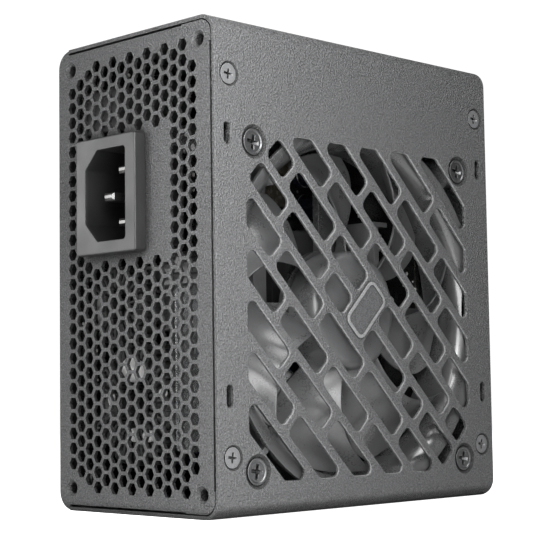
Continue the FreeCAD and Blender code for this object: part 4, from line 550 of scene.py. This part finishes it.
# name, place, target, size and power of each light, in metres and watts
LIGHTS = (
    ("key_high", (-0.11, -0.115, 0.165), (CORNER_X, CORNER_Y, 0.1), (0.08, 0.08), 0.26),
    ("key_level", (-0.13, -0.10, 0.11), (CORNER_X, CORNER_Y, 0.08), (0.08, 0.08), 0.12),
    ("key_low", (-0.10, -0.13, 0.04), (CORNER_X, CORNER_Y, 0.04), (0.08, 0.08), 0.139),
    ("fan_side", (0.25, -0.45, 0.15), MIDDLE, (0.3, 0.3), 0.08),
    ("mains_side", (-0.31, 0.33, 0.12), (-0.055, 0.01, 0.075), (0.16, 0.16), 0.5),
    ("vent_side", (-0.25, 0.02, 0.10), (-0.055, 0.01, 0.05), (0.16, 0.16), 0.08),
    ("top_front", (0.03, -0.19, 0.30), (0.03, -0.025, 0.015), (0.17, 0.1), 0.42),
    ("behind", (0.35, 0.42, 0.35), MIDDLE, (0.4, 0.4), 1.32),
)
# brightness as the camera sees it, and as the object is lit by it
FLOOR_SEEN, FLOOR_GLOW = 1.0, 0.017
SKY_SEEN, SKY_GLOW = 1.05, 0.052
FLOOR_RINGS, FLOOR_TURNS, FLOOR_RADIUS = 12, 64, 2.5


def area_light(name, place, target, size, power):
    """Rectangular lamp aimed at a point, itself unseen by the camera."""
    data = bpy.data.lights.new(name, "AREA")
    data.shape = "RECTANGLE"
    data.size, data.size_y = size
    data.energy = power
    light = bpy.data.objects.new(name, data)
    bpy.context.scene.collection.objects.link(light)
    light.location = place
    light.visible_camera = False
    light.rotation_euler = (Vector(target) - Vector(place)).to_track_quat("-Z", "Y").to_euler()


def floor():
    """Pale round floor of fine grain, that the camera sees as white."""
    verts = [(0, 0, 0)]
    faces = []
    for ring in range(1, FLOOR_RINGS + 1):
        for turn in range(FLOOR_TURNS):
            angle = 2 * math.pi * turn / FLOOR_TURNS
            reach = FLOOR_RADIUS * (ring / FLOOR_RINGS) ** 1.5
            verts.append((reach * math.cos(angle), reach * math.sin(angle), 0))
    for turn in range(FLOOR_TURNS):
        after = (turn + 1) % FLOOR_TURNS
        faces.append((0, 1 + turn, 1 + after))
        for ring in range(FLOOR_RINGS - 1):
            inner, outer = 1 + ring * FLOOR_TURNS, 1 + (ring + 1) * FLOOR_TURNS
            faces.append((inner + turn, outer + turn, outer + after, inner + after))
    mesh = bpy.data.meshes.new("floor")
    mesh.from_pydata(verts, [], faces)
    plane = bpy.data.objects.new("floor", mesh)
    bpy.context.scene.collection.objects.link(plane)
    s = Shader("floor")
    grain = s.noise(3 * MM, 3.0)
    color = s.mix(s.spread(grain, 0.3, 0.7), (0.86, 0.86, 0.86), (0.9, 0.9, 0.9))
    material = s.finish(color, 0.6, 0.0, s.bump(grain, 0.02 * MM), Emission_Color=(1, 1, 1, 1))
    seen = s.add("ShaderNodeLightPath").outputs["Is Camera Ray"]
    lift = s.spread(seen, 0.0, 1.0, FLOOR_GLOW, FLOOR_SEEN)
    s.link(lift, s.bsdf.inputs["Emission Strength"])
    mesh.materials.append(material)


def studio():
    """White surroundings that light the object only faintly, and the lamps."""
    scene = bpy.context.scene
    world = bpy.data.worlds.new("studio")
    scene.world = world
    world.use_nodes = True
    tree = world.node_tree
    background = tree.nodes["Background"]
    background.inputs["Color"].default_value = (1, 1, 1, 1)
    path = tree.nodes.new("ShaderNodeLightPath")
    level = tree.nodes.new("ShaderNodeMapRange")
    tree.links.new(path.outputs["Is Camera Ray"], level.inputs["Value"])
    level.inputs["To Min"].default_value = SKY_GLOW
    level.inputs["To Max"].default_value = SKY_SEEN
    tree.links.new(level.outputs["Result"], background.inputs["Strength"])
    scene.view_settings.view_transform = "Standard"
    scene.view_settings.look = "None"
    for light in LIGHTS:
        area_light(*light)


CAMERA_AZIMUTH = math.radians(-44.880)
CAMERA_TILT = math.radians(-4.633)
CAMERA_ROLL = math.radians(-0.787)
CAMERA_DISTANCE = 432.77 * MM
CAMERA_SLIDE = (-4.196 * MM, 3.769 * MM)        # to the right and up, across the line of sight
CAMERA_LENS, CAMERA_SENSOR = 103.03, 36.0       # millimetres


def camera():
    """Camera at the photographed angle: near level, facing the corner of the fan side and the mains side."""
    data = bpy.data.cameras.new("camera")
    data.sensor_width = CAMERA_SENSOR
    data.lens = CAMERA_LENS
    data.clip_start = 0.01
    data.clip_end = 20.0
    view = bpy.data.objects.new("camera", data)
    bpy.context.scene.collection.objects.link(view)
    level = math.cos(CAMERA_TILT)
    away_x, away_y = math.sin(CAMERA_AZIMUTH), -math.cos(CAMERA_AZIMUTH)
    back = Vector((away_x * level, away_y * level, math.sin(CAMERA_TILT)))
    side = Vector((0, 0, 1)).cross(back).normalized()
    up = back.cross(side)
    turn_cos, turn_sin = math.cos(CAMERA_ROLL), math.sin(CAMERA_ROLL)
    right = turn_cos * side + turn_sin * up
    upward = turn_cos * up - turn_sin * side
    place = Vector(MIDDLE) + back * CAMERA_DISTANCE
    place += right * CAMERA_SLIDE[0] + upward * CAMERA_SLIDE[1]
    view.matrix_world = Matrix((
        (right.x, upward.x, back.x, place.x),
        (right.y, upward.y, back.y, place.y),
        (right.z, upward.z, back.z, place.z),
        (0, 0, 0, 1),
    ))
    bpy.context.scene.camera = view


floor()
studio()
camera()
